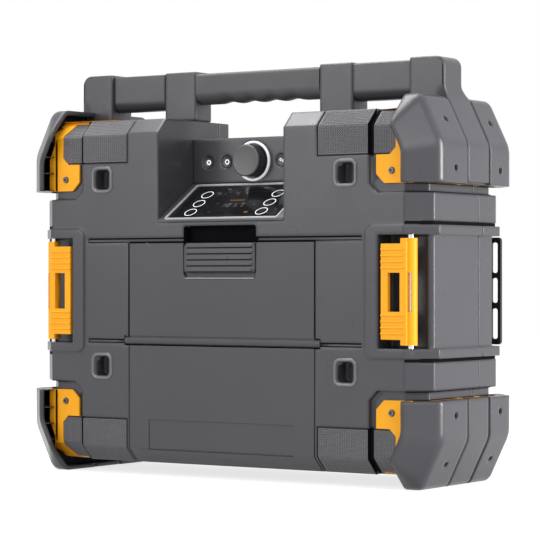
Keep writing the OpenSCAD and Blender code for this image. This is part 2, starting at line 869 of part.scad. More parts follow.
module light_ring() {
    color([0.95, 0.95, 0.96]) difference() {
        rod_y(0, fascia_z, ring_d / 2, fascia_y - 1.6, fascia_y + 1.2);
        rod_y(0, fascia_z, ring_d / 2 - 2.6, fascia_y - 3, fascia_y + 3);
    }
}

control_board_y = fascia_y + fascia_t + 5;

module control_board() {
    color([0.1, 0.35, 0.2]) block([-60, control_board_y, fascia_z - 15],
        [60, control_board_y + board_t, fascia_z + 15]);
    color([0.1, 0.1, 0.1]) for (x = button_xs) block([x - 3, control_board_y - 2.6, fascia_z - 3],
        [x + 3, control_board_y, fascia_z + 3]);
}

module encoder() {
    color([0.6, 0.6, 0.62]) {
        block([-6.5, control_board_y - 4.4, fascia_z - 6.5], [6.5, control_board_y, fascia_z + 6.5]);
        rod_y(0, fascia_z, 3.5, fascia_y + 0.6, control_board_y - 4);
        rod_y(0, fascia_z, 3, fascia_y - knob_h + 3.5, fascia_y + 1);
    }
}

module volume_knob() {
    color([0.3, 0.3, 0.31]) difference() {
        union() {
            rod_y(0, fascia_z, knob_d / 2, fascia_y - knob_h + 1, fascia_y - 2.6);
            rod_y(0, fascia_z, knob_d / 2 - 0.8, fascia_y - knob_h, fascia_y - 2);
        }
        rod_y(0, fascia_z, 3 + fit, fascia_y - knob_h + 3.2, fascia_y);
        difference() {
            rod_y(0, fascia_z, knob_d / 2 - 2.2, fascia_y - knob_h + 3, fascia_y);
            rod_y(0, fascia_z, 5, fascia_y - knob_h, fascia_y);
        }
    }
}

module fascia_button(i) {
    color([0.25, 0.25, 0.27]) translate([button_xs[i], 0, fascia_z]) {
        rod_y(0, 0, button_d / 2, fascia_y - 0.6, fascia_y + 1.6);
        rod_y(0, 0, 2.4, fascia_y + 1.5, control_board_y - 2.6 - button_travel - slack);
        translate([0, fascia_y + fascia_t + slack, 0]) rotate([-90, 0, 0])
            cylinder(h = 0.9, r = button_d / 2 - 1.5);
    }
}

module display_key(side, i) {
    color([0.05, 0.05, 0.06]) on_slope() translate([side * key_x, key_s[i], 0]) {
        translate([0, 0, -glass_t]) cylinder(h = glass_t + 0.2, r = key_d / 2);
        translate([0, 0, display_board_z + button_travel + slack])
            cylinder(h = -glass_t - display_board_z - button_travel - slack + 0.1, r = 2.5);
    }
}

// ---- Door and latch ----

module door_barrel_cut() {
    both_sides() rod_x(barrel_y, mid_z + barrel_z, hinge_pin_r + fit, barrel_half - 14, barrel_half + 1);
}

module door() {
    color([0.36, 0.36, 0.38]) difference() {
        union() {
            block([-door_half, front_y, mid_z + barrel_z], [door_half, front_y + front_wall, mid_z + door_top]);
            rod_x(barrel_y, mid_z + barrel_z, barrel_r, -barrel_half, barrel_half);
            // Stiffening ribs inside the door
            for (x = [-60, -20, 20, 60]) block([x - 1, front_y + front_wall - 0.5, mid_z + bay_z[0] + 8],
                [x + 1, front_y + front_wall + 3, mid_z + bay_z[1] - 6]);
        }
        door_barrel_cut();
        // Shadow line above the barrel
        block([-reach, front_y - 1, mid_z + barrel_z + barrel_r - 1.4],
            [reach, front_y + 1.2, mid_z + barrel_z + barrel_r]);
        // Pocket for the latch button
        along_y(front_y - 1, front_y + pocket_depth) translate([0, mid_z])
            round_rect([-pocket_half, pocket_low], [pocket_half, door_top + 8], 5);
        both_sides() block([stem_x[0] - 0.8, front_y - 1, mid_z + hook_plate_z[0] - latch_travel - 1],
            [stem_x[1] + 0.8, front_y + front_wall + 1, mid_z + hook_plate_z[1] + 1]);
    }
}

module door_latch() {
    low = door_top - latch_button_h - 0.5;
    top = door_top - 0.5;
    rib_count = 5;
    rib_pitch = (latch_button_h - 5) / (rib_count - 1);
    color([0.33, 0.33, 0.35]) translate([0, 0, mid_z]) {
        along_y(front_y - 0.4, front_y + pocket_depth - slack)
            round_rect([-latch_button_w / 2, low], [latch_button_w / 2, top], 4);
        for (i = [0:rib_count - 1]) along_x(-latch_button_w / 2 + 3, latch_button_w / 2 - 3)
            translate([front_y - 0.4, low + 2.5 + i * rib_pitch]) circle(1.1, $fn = 24);
        both_sides() block([stem_x[0], front_y + pocket_depth - slack - 0.5, hook_plate_z[0] + 1],
            [stem_x[1], hook_y + 0.5, hook_plate_z[1] - 1]);
        block([-hook_x[1], hook_y, hook_plate_z[0]], [hook_x[1], hook_y + hook_t, hook_plate_z[1]]);
        both_sides() block([hook_x[0], hook_y, hook_plate_z[0]],
            [hook_x[1], hook_y + hook_t, door_top + cover_gap - 0.5]);
    }
}

module door_hinge_pins() {
    color([0.75, 0.76, 0.78]) both_sides()
        rod_x(barrel_y, mid_z + barrel_z, hinge_pin_r, barrel_half + 7.3 - pin_len, barrel_half + 7.3);
}

// ---- Device bay ----

module device_bay() {
    w = bay_wall;
    color([0.16, 0.16, 0.17]) translate([0, 0, mid_z]) difference() {
        union() {
            block([-bay_half - w, bay_front, bay_z[0] - w], [bay_half + w, bay_back + w, bay_z[1] + w]);
            block([-opening_half - bay_flange, bay_front, bay_z[0] - w],
                [opening_half + bay_flange, bay_front + w, bay_z[1] + w]);
            both_sides() block([opening_half + 0.6, front_y + front_wall, bay_z[0] - w],
                [opening_half + bay_flange, bay_front + w, bay_z[1] + w]);
        }
        block([-bay_half, bay_front - 5, bay_z[0]], [bay_half, bay_back, bay_z[1]]);
    }
}

module door_seal() {
    t = 1.5;
    color([0.08, 0.08, 0.08]) translate([0, 0, mid_z]) along_y(bay_front - t, bay_front) difference() {
        round_rect([-bay_half - 2.3, bay_z[0] - 2.3], [bay_half + 2.3, bay_z[1] + 2.3], 2);
        round_rect([-bay_half, bay_z[0]], [bay_half, bay_z[1]], 1);
    }
}

dock_half = 30;

module battery_dock() {
    z0 = mid_z + bay_z[0];
    y1 = bay_back;
    color([0.1, 0.1, 0.1]) difference() {
        block([-dock_half, y1 - 9, z0], [dock_half, y1, z0 + 46]);
        block([-dock_half + 5, y1 - 10, z0 + 6], [dock_half - 5, y1 - 4, z0 + 50]);
        both_sides() block([dock_half - 8, y1 - 6.5, z0 + 6], [dock_half - 3, y1 - 4, z0 + 50]);
    }
    color([0.85, 0.7, 0.35]) for (i = [0:4])
        block([-16.4 + i * 8, y1 - 11, z0 + 8], [-15.6 + i * 8, y1 - 3.9, z0 + 20]);
}

module port_panel() {
    z0 = mid_z + bay_z[0] + 12;
    x1 = bay_half;
    y0 = bay_front + 22;
    color([0.2, 0.2, 0.21]) difference() {
        block([x1 - 5, y0, z0], [x1, y0 + 34, z0 + 24]);
        block([x1 - 6, y0 + 4, z0 + 9], [x1 - 1, y0 + 17.1, z0 + 14.7]);
        rod_x(y0 + 26, z0 + 12, 1.8, x1 - 6, x1 - 0.8);
    }
    color([0.9, 0.9, 0.9]) block([x1 - 4.6, y0 + 5, z0 + 11.7], [x1 - 0.5, y0 + 16, z0 + 13.6]);
}

// ---- Electronics ----

module main_board() {
    color([0.1, 0.35, 0.2]) difference() {
        block([board_x[0], board_y, mid_z + board_z[0]], [board_x[1], board_y + board_t, mid_z + board_z[1]]);
        for (b = board_bolts) rod_y(b[0], mid_z + b[1], 1.6, board_y - 1, board_y + 3);
    }
    color([0.6, 0.61, 0.63]) for (i = [0:5]) block([-30 + i * 8, board_y - 16, mid_z + 8],
        [-28 + i * 8, board_y, mid_z + 38]);
    color([0.6, 0.61, 0.63]) block([-30, board_y - 3, mid_z + 8], [12, board_y, mid_z + 38]);
    color([0.12, 0.12, 0.12]) for (x = [32, 48, 64]) rod_y(x, mid_z + 24, 6, board_y - 14, board_y);
    color([0.12, 0.12, 0.12]) block([-12, board_y - 1.6, mid_z - 26], [10, board_y, mid_z - 4]);
}

module power_supply() {
    z0 = mid_z + psu_z[0];
    color([0.55, 0.45, 0.2]) difference() {
        block([psu_x[0], psu_y, z0], [psu_x[1], psu_y + board_t, mid_z + psu_z[1]]);
        for (b = psu_bolts) rod_y(b[0], mid_z + b[1], 1.6, psu_y - 1, psu_y + 3);
    }
    color([0.75, 0.65, 0.2]) block([-40, psu_y - 34, z0 + 18], [-4, psu_y, z0 + 50]);
    color([0.12, 0.12, 0.12]) rod_y(14, z0 + 26, 11, psu_y - 34, psu_y);
    color([0.6, 0.61, 0.63]) block([-66, psu_y - 30, z0 + 14], [-61, psu_y, z0 + 56]);
}

module ac_inlet() {
    w = inlet_size[0] / 2;
    h = inlet_size[1] / 2;
    color([0.07, 0.07, 0.07]) translate([inlet_x, 0, inlet_z]) {
        difference() {
            union() {
                block([-w, half_d - 17, -h], [w, half_d - 1.2, h]);
                block([-w - 4, half_d - 1.2, -h - 2.5], [w + 4, half_d + 1, h + 2.5]);
            }
            along_y(half_d - 14, half_d + 2) round_rect([-w + 4, -h + 4], [w - 4, h - 4], 3);
        }
    }
    color([0.8, 0.8, 0.8]) for (x = [-4.3, 4.3])
        rod_y(inlet_x + x, inlet_z, 1.2, half_d - 15, half_d - 4);
}

// ---- Grilles and speakers ----

// Mesh panel of the upper right corner: one sheet folded over the body's edge
module grille_form() {
    module sheet(o, x0, x1) {
        intersection() {
            along_x(x0, x1) difference() {
                body_profile(o);
                body_profile(o + grille_t);
            }
            block([0, -reach, grille_low + slack], [reach, front_y + edge_cut + 1, half_h]);
        }
    }
    color([0.2, 0.2, 0.21]) difference() {
        union() {
            sheet(grille_inset, grille_in_x + slack, grille_out_x - slack);
            sheet(bracket_inset + bracket_t - grille_t, grille_out_x - 6, bracket_in_x + 2);
            intersection() {
                sheet(bracket_inset + bracket_t - grille_t, bracket_in_x, grille_wing_x + 10);
                along_y(-reach, reach) polygon([[bracket_in_x - 1, grille_low + slack],
                    [grille_wing_x - 6.2, grille_low + slack], [grille_wing_x - slack, grille_low + 6.2],
                    [grille_wing_x - slack, grille_low + 28 - slack],
                    [grille_wing_x - 8 - slack, half_h - 0.2], [bracket_in_x - 1, half_h - 0.2]]);
            }
            // Edge that joins the front sheet to the deeper one behind the gap
            intersection() {
                along_x(grille_out_x - slack - 1.2, grille_out_x - slack) difference() {
                    body_profile(grille_inset);
                    body_profile(bracket_inset + bracket_t);
                }
                block([0, -reach, grille_low + slack], [reach, front_y + edge_cut + 1, half_h]);
            }
        }
    }
}

module speaker_at(side, level) {
    at_corner(side, level) translate([speaker_x, speaker_y, speaker_z]) rotate([-90, 0, 0]) children();
}

module speaker_baskets() {
    r = speaker_d / 2;
    color([0.15, 0.15, 0.16]) for (side = [-1, 1], level = [-1, 1]) speaker_at(side, level)
        rotate_extrude() polygon([[r - 3, 0], [r, 0], [r, flange_t], [r - 1.6, flange_t],
            [magnet_d / 2 - 4, speaker_depth - 9], [magnet_d / 2 - 4, speaker_depth - 7],
            [5, speaker_depth - 7], [5, speaker_depth - 9],
            [magnet_d / 2 - 6, speaker_depth - 9], [r - 3, flange_t]]);
}

module speaker_cones() {
    r = speaker_d / 2;
    color([0.1, 0.1, 0.11]) for (side = [-1, 1], level = [-1, 1]) speaker_at(side, level)
        rotate_extrude() polygon([[0, 3.2], [7.5, 4.6], [8.6, 5.2], [r - 5.4, 0.6], [r - 3.2, 0.2],
            [r - 3.2, 1], [r - 5.2, 1.5], [8.4, 6.4], [7.2, 5.8], [0, 4.4]]);
}

module speaker_magnets() {
    color([0.45, 0.45, 0.47]) for (side = [-1, 1], level = [-1, 1]) speaker_at(side, level)
        rotate_extrude() polygon([[0, speaker_depth - 7], [0, speaker_depth + 6],
            [magnet_d / 2 - 1, speaker_depth + 6], [magnet_d / 2, speaker_depth + 5],
            [magnet_d / 2, speaker_depth - 6.9], [4.9, speaker_depth - 6.9], [4.9, speaker_depth - 7]]);
}

// ---- Corner brackets ----

// Solid of the upper right corner, set in by f in front and grown by g at the side and top
module bracket_form(f, g) {
    shift = (sqrt(2) - 1) * f;
    intersection() {
        along_y(-reach, reach) polygon([[0, 0], [neck_x + g, 0], [neck_x + g, core_bend + g / 3],
            [core_top_x + g / 2, half_h + g], [0, half_h + g]]);
        along_x(-reach, reach) polygon([
            [-half_d + f, 0], [-half_d + f, half_h - edge_cut - shift],
            [-half_d + edge_cut + f + shift + g, half_h + g],
            [half_d - edge_cut - f - shift - g, half_h + g],
            [half_d - f, half_h - edge_cut - shift], [half_d - f, 0]]);
        along_z(-reach, reach) polygon([[0, -half_d + f],
            [half_w - corner_cut - shift, -half_d + f],
            [neck_x + g, -half_d + corner_cut + f + shift + g - neck_in],
            [neck_x + g, half_d - corner_cut - f - shift - g + neck_in],
            [half_w - corner_cut - shift, half_d - f], [0, half_d - f]]);
    }
}

module bracket_shape() {
    difference() {
        intersection() {
            difference() {
                bracket_form(bracket_inset, bracket_t + slack);
                bracket_form(bracket_skin, slack);
            }
            along_y(-reach, reach) corner_region(bracket_in_x, bracket_low);
        }
        // Window for the grille's wing
        along_y(-reach, front_y + edge_cut + 4) polygon([
            [bracket_in_x - 5, grille_low], [grille_wing_x - 6, grille_low],
            [grille_wing_x, grille_low + 6], [grille_wing_x, grille_low + 28],
            [grille_wing_x - 8, half_h], [bracket_in_x - 5, half_h]]);
        rod_y(bracket_screw[0], bracket_screw[1], 2.2, -reach, 0);
        corner_screw_holes(2.2, 30, -8);
        handle_room(slack);
        block([0, -reach, half_h - eps], [core_top_x + 1.5, reach, reach]);
    }
}

// Arm of the upper brackets that runs along the grille's top edge
module bracket_arm() {
    block([bracket_in_x - 34, front_y + edge_cut + 0.6, half_h + slack],
        [core_top_x + 2.2, front_y + edge_cut + 10, half_h + slack + 1]);
}

module corner_bracket(side, level) {
    color([0.98, 0.68, 0.13]) at_corner(side, level) union() {
        bracket_shape();
        if (level > 0) bracket_arm();
    }
}

// ---- Bumpers ----

// Outline of the upper right bumper, set in by d on its outer faces
function bumper_points(d, in_x, low) =
    let (bx = bumper_x + d * slant_nx, bz = bend_z + d * slant_nz)
    let (ux = slant_dx / slant_len, uz = slant_dz / slant_len)
    let (t1 = (bumper_x - d - bx) / ux, t2 = (bumper_top - d - bz) / uz)
    [[in_x, low], [bumper_x - d, low], [bumper_x - d, bz + t1 * uz], [bx + t2 * ux, bumper_top - d],
     [in_x, bumper_top - d]];

// Solid of a whole bumper: cut edges in front and behind, from inset d to inset lip
module bumper_form(d, lip, y_straight, y_lip, in_x, low) {
    hull() {
        along_y(-y_straight, y_straight) polygon(bumper_points(d, in_x, low));
        along_y(-y_lip, -y_lip + 0.1) polygon(bumper_points(lip, in_x, low));
        along_y(y_lip - 0.1, y_lip) polygon(bumper_points(lip, in_x, low));
    }
}

module bumper_outer() {
    bumper_form(0, bumper_cut, straight_y, lip_y, bumper_in_x, bumper_low);
}

module bumper_hollow() {
    bumper_form(bumper_wall, lip_inset, straight_y - (sqrt(2) - 1) * bumper_wall, lip_y + 0.5,
        bumper_in_x - 5, bumper_low - 5);
}

// Middle stretch of a bumper, between its two slits
module bumper_middle(y0, y1, depth) {
    difference() {
        block([0, y0, 0], [reach, y1, reach]);
        along_y(-reach, reach) polygon(bumper_points(depth, 0, 0));
    }
}

// Ribs between the bumper's shell and the bracket behind it
module bumper_ribs() {
    rib = 1.8;
    band = bracket_t + 2 * slack;
    difference() {
        intersection() {
            bumper_form(2, bumper_cut + 2.5, straight_y, lip_y - 3, bumper_in_x, bumper_low);
            union() {
                for (z = [bumper_low + 1.5, bumper_low + 24, core_bend + 14])
                    block([0, -reach, z], [reach, reach, z + rib]);
                for (x = [bumper_in_x + 6]) block([x, -reach, core_bend + 14], [x + rib, reach, reach]);
                corner_screw_bosses();
            }
        }
        bracket_form(bracket_inset - slack, band);
        block([0, -reach, 0], [bumper_in_x - 0.1, reach, reach]);
        block([0, -reach, 0], [half_w - corner_cut - 1, front_y + bracket_inset, reach]);
        block([0, half_d - bracket_inset, 0], [half_w - corner_cut - 1, reach, reach]);
    }
}

module corner_screw_bosses() {
    corner_screw_holes(5, 14, 1);
}

// Room for the handle's end post in the bumper and the bracket
module handle_room(g) {
    block([end_post_x[0] - g, end_post_y[0] - g, half_h - 1],
        [end_post_x[1] + g, end_post_y[1] + g, reach]);
    block([end_post_x[1] - 3 - g, band_y[0] - g, bumper_top - slit_depth - g],
        [crown_x + 1 + g, band_y[1] + g, reach]);
}

module bumper(side, level) {
    slit_y = [band_y[0] - slit_w / 2, band_y[1] - slit_w / 2];
    color([0.34, 0.34, 0.36]) at_corner(side, level) difference() {
        union() {
            difference() {
                bumper_outer();
                bumper_hollow();
            }
            bumper_ribs();
        }
        if (level > 0) {
            bumper_middle(band_y[0] - slit_w / 2, band_y[1] + slit_w / 2, slit_depth);
            handle_room(slack);
        } else {
            for (y = slit_y) bumper_middle(y, y + slit_w, slit_depth);
        }
        corner_screw_holes(screw_well_d / 2, -1, -reach / 8);
        corner_screw_holes(screw_well_d / 2, 6, -1);
        corner_screw_holes(1.7, 30, 1);
    }
}

module corner_screws() {
    for (y = bumper_screw_ys) {
        translate([bumper_x, y, side_screw_z]) rotate([0, -90, 0]) socket_screw(6, 14);
        translate([slant_mid[0], y, slant_mid[1]]) rotate([0, slant_tilt + 180, 0]) socket_screw(6, 14);
    }
}

// Socket-head screw that points along +Z, its head's underside at depth
module socket_screw(depth, length) {
    translate([0, 0, depth - 3]) difference() {
        cylinder(h = 3, r = screw_well_d / 2 - 0.2);
        translate([0, 0, -1]) cylinder(h = 2.6, r = 1.25, $fn = 6);
    }
    translate([0, 0, depth]) cylinder(h = length, r = 1.5);
}

module bumper_screws() {
    color([0.3, 0.3, 0.32]) at_all_corners() corner_screws();
}

module bracket_screws() {
    face = front_y + bracket_inset;
    color([0.35, 0.35, 0.38]) at_all_corners()
        translate([bracket_screw[0], face - 1.5, bracket_screw[1]]) rotate([-90, 0, 0]) difference() {
            union() {
                cylinder(h = 1.5, r1 = 2.6, r2 = 3.1);
                translate([0, 0, 1.4]) cylinder(h = 9, r = 1.5);
            }
            translate([0, 0, -0.1]) cylinder(h = 1.3, r = 1.3, $fn = 6);
        }
}

module housing_screws() {
    color([0.3, 0.3, 0.32]) for (c = columns) both_sides() {
        difference() {
            rod_y(c[0], c[1], 3.2, half_d - 4, half_d - 1.4);
            rod_y(c[0], c[1], 1.4, half_d - 2.8, half_d - 1);
        }
        rod_y(c[0], c[1], 1.5, split_y - 12, half_d - 3.9);
    }
}

// ---- Handle ----

module handle_end(side) {
    r = 9;
    top = post_top - mid_z;
    cross = bumper_top + (crown_x - end_post_x[1]) * slant_dz / -slant_dx;
    color([0.36, 0.36, 0.38]) at_corner(side, 1) difference() {
        union() {
            along_y(end_post_y[0], end_post_y[1]) {
                translate([end_post_x[0], half_h]) square([end_post_w, top - half_h - r]);
                translate([end_post_x[0], top - r - 1]) square([end_post_w - r, r + 1]);
                translate([end_post_x[1] - r, top - r]) circle(r);
            }
            // Band that runs down over the bumper
            along_y(band_y[0] + slack, band_y[1] - slack) {
                difference() {
                    polygon(bumper_points(0, crown_x - 6, bumper_low));
                    polygon(bumper_points(slit_depth - slack, 0, 0));
                }
                polygon([[end_post_x[1] - 2, cross], [end_post_x[1] - 2, bumper_top - slit_depth + slack],
                    [crown_x + 1, bumper_top - slit_depth + slack], [crown_x, bumper_top],
                    [end_post_x[1], cross]]);
            }
        }
        rod_x(rod_y, rod_z - mid_z, rod_d / 2, end_post_x[0] - 1, end_post_x[0] + rod_reach);
    }
}

module handle_bars() {
    r = 9;
    z0 = bar_top - bar_h;
    color([0.36, 0.36, 0.38]) both_sides() difference() {
        along_x(inner_post_x[1] + slack, end_post_x[0] - slack) bar_section(handle_y, z0, bar_top, r, 2);
        rod_x(rod_y, rod_z, rod_d / 2, 0, reach);
    }
}

// Bar section: flat front, lower edges rounded with r, upper edges with q
module bar_section(y, z0, z1, r, q) {
    translate([y[0] + r, z0]) square([y[1] - y[0] - 2 * r, z1 - z0]);
    translate([y[0], z0 + r]) square([y[1] - y[0], z1 - z0 - r - q]);
    translate([y[0] + q, z0 + r]) square([y[1] - y[0] - 2 * q, z1 - z0 - r]);
    for (c = [[y[0] + r, z0 + r, r], [y[1] - r, z0 + r, r], [y[0] + q, z1 - q, q], [y[1] - q, z1 - q, q]])
        translate([c[0], c[1]]) circle(c[2]);
}

module handle_inner_posts() {
    color([0.36, 0.36, 0.38]) both_sides() difference() {
        along_x(inner_post_x[0], inner_post_x[1])
            bar_section(handle_y, mid_z + half_h, post_top - 1, 0.5, 2);
        rod_x(rod_y, rod_z, rod_d / 2, 0, reach);
    }
}

module grip() {
    z0 = grip_top - grip_h;
    hollow_r = 16;
    color([0.33, 0.33, 0.34]) difference() {
        along_x(-notch_half + slack, notch_half - slack) bar_section(handle_y, z0, grip_top, 12, 3);
        for (i = [-1.5:1:1.5]) rod_y(i * finger_pitch, z0 + 3 - hollow_r, hollow_r,
            handle_y[0] - 1, handle_y[1] + 1);
        rod_x(rod_y, rod_z, rod_d / 2, -reach, reach);
    }
}

module handle_rod() {
    end = end_post_x[0] + rod_reach - 0.5;
    color([0.6, 0.6, 0.62]) rod_x(rod_y, rod_z, rod_d / 2 - fit, -end, end);
}

// ---- Side latches and rear catches ----

// Pin of the right latch, grown by g and lengthened by e at each end
module latch_pin_shape(g, e) {
    h = latch_window_h + e;
    translate([latch_pin_x, latch_pin_y, mid_z - h]) cylinder(h = 2 * h, r = latch_pin_r + g);
}

module latch_pins() {
    color([0.8, 0.81, 0.83]) both_sides() latch_pin_shape(0, 5.5);
}

module side_latch(side) {
    x0 = latch_end_x;
    y0 = front_y - 1.2;
    h = latch_half_h;
    s = latch_step_h;
    slot = [174.8, 174.8 + latch_slot_w];
    color([0.98, 0.68, 0.13]) translate([0, 0, mid_z]) mirror([side < 0 ? 1 : 0, 0, 0]) difference() {
        union() {
            block([x0, y0, -h + s], [latch_pin_x, y0 + latch_t, h - s]);
            block([latch_step_x, y0, -h], [latch_pin_x, y0 + latch_t, h]);
            translate([latch_pin_x, latch_pin_y, -h]) cylinder(h = 2 * h, r = latch_barrel_r);
            // Hook along the free edge
            block([x0, y0 + latch_t - 0.5, -h + s + 10], [x0 + 3, y0 + latch_t + 3.5, h - s - 10]);
            // Grip ribs near both ends
            for (e = [-1, 1], i = [0:3]) along_x(x0, latch_pin_x - 3)
                translate([y0, e * (h - s - 5 - i * 5.2)]) circle(0.9, $fn = 24);
        }
        translate([latch_pin_x, latch_pin_y, -h - 1]) cylinder(h = 2 * h + 2, r = latch_pin_r + fit);
        block([slot[0], y0 - 5, -17], [slot[1], y0 + 20, 16]);
        block([latch_pin_x - 0.2, y0 - 5, -17], [latch_pin_x + 3.4, latch_pin_y - 1, 16]);
    }
}

catch_t = 3;

module rear_catches() {
    y1 = half_d - 4.5;
    y0 = y1 - catch_t;
    heights = [[-42.5, -15.5], [-10.5, 11.5], [16, 43]];
    color([0.08, 0.08, 0.08]) both_sides() difference() {
        intersection() {
            along_z(mid_z - 47.5, mid_z + 47.5) polygon([[rear_cut - y0, y0], [half_w - 1.5, y0],
                [half_w - 1.5, y1], [rear_cut - y1, y1]]);
            along_y(y0 - 1, y1 + 1) translate([0, mid_z])
                round_rect([half_w - 40, -47.5], [half_w - 1.5, 47.5], 3);
        }
        for (z = heights) along_y(y0 - 1, y1 + 1) translate([0, mid_z])
            round_rect([half_w - 10.5, z[0]], [half_w - 4.4, z[1]], 2);
    }
}

// ---- Nodes ----

front_housing();
rear_housing();
lower_front_panel();
display_bezel();
control_fascia();
display_glass();
lcd_module();
display_board();
control_board();
encoder();
light_ring();
main_board();
power_supply();
device_bay();
battery_dock();
port_panel();
door_seal();
ac_inlet();
at_corner(-1, 1) grille_form();  // grille_upper_left
at_corner(1, 1) grille_form();  // grille_upper_right
at_corner(-1, -1) grille_form();  // grille_lower_left
at_corner(1, -1) grille_form();  // grille_lower_right
speaker_baskets();
speaker_cones();
speaker_magnets();
bumper(-1, 1);  // bumper_upper_left
bumper(1, 1);  // bumper_upper_right
bumper(-1, -1);  // bumper_lower_left
bumper(1, -1);  // bumper_lower_right
corner_bracket(-1, 1);  // bracket_upper_left
corner_bracket(1, 1);  // bracket_upper_right
corner_bracket(-1, -1);  // bracket_lower_left
corner_bracket(1, -1);  // bracket_lower_right
bumper_screws();
bracket_screws();
housing_screws();
handle_end(-1);  // handle_end_left
handle_end(1);  // handle_end_right
handle_bars();
handle_inner_posts();
grip();
handle_rod();
latch_pins();
rear_catches();
door();
door_latch();
door_hinge_pins();
side_latch(-1);  // side_latch_left
side_latch(1);  // side_latch_right
volume_knob();
fascia_button(0);  // button_power
fascia_button(1);  // button_source
fascia_button(2);  // button_sound
fascia_button(3);  // button_menu
display_key(-1, 0);  // key_left_1
display_key(-1, 1);  // key_left_2
display_key(-1, 2);  // key_left_3
display_key(1, 0);  // key_right_1
display_key(1, 1);  // key_right_2
display_key(1, 2);  // key_right_3
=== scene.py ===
"""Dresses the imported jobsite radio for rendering.

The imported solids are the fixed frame. Each class below takes one sub-assembly of the radio, models
its visible pieces round the solids and gives them their finish. Lengths in the classes are in
millimetres; Blender's own units are metres.
"""
from __future__ import annotations

import json
import logging
import math
from dataclasses import dataclass, field
from enum import Enum
from itertools import combinations
from typing import Callable, Iterable, Sequence

import bmesh
import bpy
from mathutils import Matrix, Vector

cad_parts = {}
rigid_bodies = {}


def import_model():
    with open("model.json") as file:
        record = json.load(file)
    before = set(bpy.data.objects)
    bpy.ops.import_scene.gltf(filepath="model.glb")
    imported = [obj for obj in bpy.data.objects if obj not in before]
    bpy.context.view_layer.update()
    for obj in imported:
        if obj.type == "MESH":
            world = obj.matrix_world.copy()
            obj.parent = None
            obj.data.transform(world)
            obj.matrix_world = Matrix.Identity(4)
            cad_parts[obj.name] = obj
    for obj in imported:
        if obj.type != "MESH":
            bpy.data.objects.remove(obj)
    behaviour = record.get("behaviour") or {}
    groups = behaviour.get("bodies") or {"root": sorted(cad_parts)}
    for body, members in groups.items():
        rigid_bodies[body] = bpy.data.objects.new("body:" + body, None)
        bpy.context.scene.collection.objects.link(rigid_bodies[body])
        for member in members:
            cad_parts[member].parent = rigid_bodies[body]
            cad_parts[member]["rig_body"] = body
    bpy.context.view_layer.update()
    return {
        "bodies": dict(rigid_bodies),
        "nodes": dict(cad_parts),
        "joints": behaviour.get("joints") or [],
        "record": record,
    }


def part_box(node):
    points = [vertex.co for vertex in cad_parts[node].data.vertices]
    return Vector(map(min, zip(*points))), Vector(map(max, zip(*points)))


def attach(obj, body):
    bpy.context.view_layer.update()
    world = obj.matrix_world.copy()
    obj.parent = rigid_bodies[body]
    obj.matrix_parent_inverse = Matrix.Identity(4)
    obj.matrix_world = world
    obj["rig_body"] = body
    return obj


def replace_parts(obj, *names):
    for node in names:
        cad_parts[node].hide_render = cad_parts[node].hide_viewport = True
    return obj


Point = Sequence[float]
Pair = tuple[float, float]
Outline = tuple[Pair, ...]

LOG = logging.getLogger("jobsite_radio")
MM = 0.001
RADIO = "radio"
# Front face of the body and the height of its middle, in millimetres.
FRONT_Y = -73.0
MIDDLE_Z = 168.25
# Points or planes closer than this, in metres, are one.
TOUCH = 1e-7
DIAGONAL = math.sqrt(0.5)
TO_FRONT = Matrix.Rotation(math.pi / 2, 4, "X")


class Skin(Enum):
    """The finishes that the radio's pieces are dressed in."""

    DARK = "dark_grey_plastic"
    PANEL = "panel_grey_plastic"
    YELLOW = "yellow_plastic"
    BLACK = "black_plastic"
    BEZEL = "light_grey_plastic"
    # Near-black that paints the shade in gaps, grooves and hollows.
    GAP = "gap_black_plastic"
    BUMPER = "bumper_grey_plastic"
    # Lighter grey that paints the highlights on the sockets' beads.
    BEAD = "bead_grey_plastic"
    # Light grey that paints the highlights on the display's trim and under the door's latch.
    TRIM = "trim_grey_plastic"
    GRIP = "grip_rubber"
    GLASS = "display_glass"
    BOARD = "circuit_board"
    STEEL = "steel"
    BLACK_STEEL = "black_steel"
    LIT_RING = "clear_ring"
    SEAL = "seal_rubber"
    MESH = "grille_mesh"
    SPEAKER = "speaker_black"
    MAGNET = "magnet"
    KNOB = "knob_plastic"
    KEY = "key_gloss"
    BUTTON = "button_grey_plastic"
    SCREEN = "screen"
    WHITE_PRINT = "white_print"
    ORANGE_PRINT = "orange_print"
    GREY_PRINT = "grey_print"


class Side(Enum):
    """Left and right of the radio as seen from its front."""

    LEFT = -1
    RIGHT = 1


class Level(Enum):
    """Upper and lower corners of the radio."""

    LOWER = -1
    UPPER = 1


# ---- Materials ----


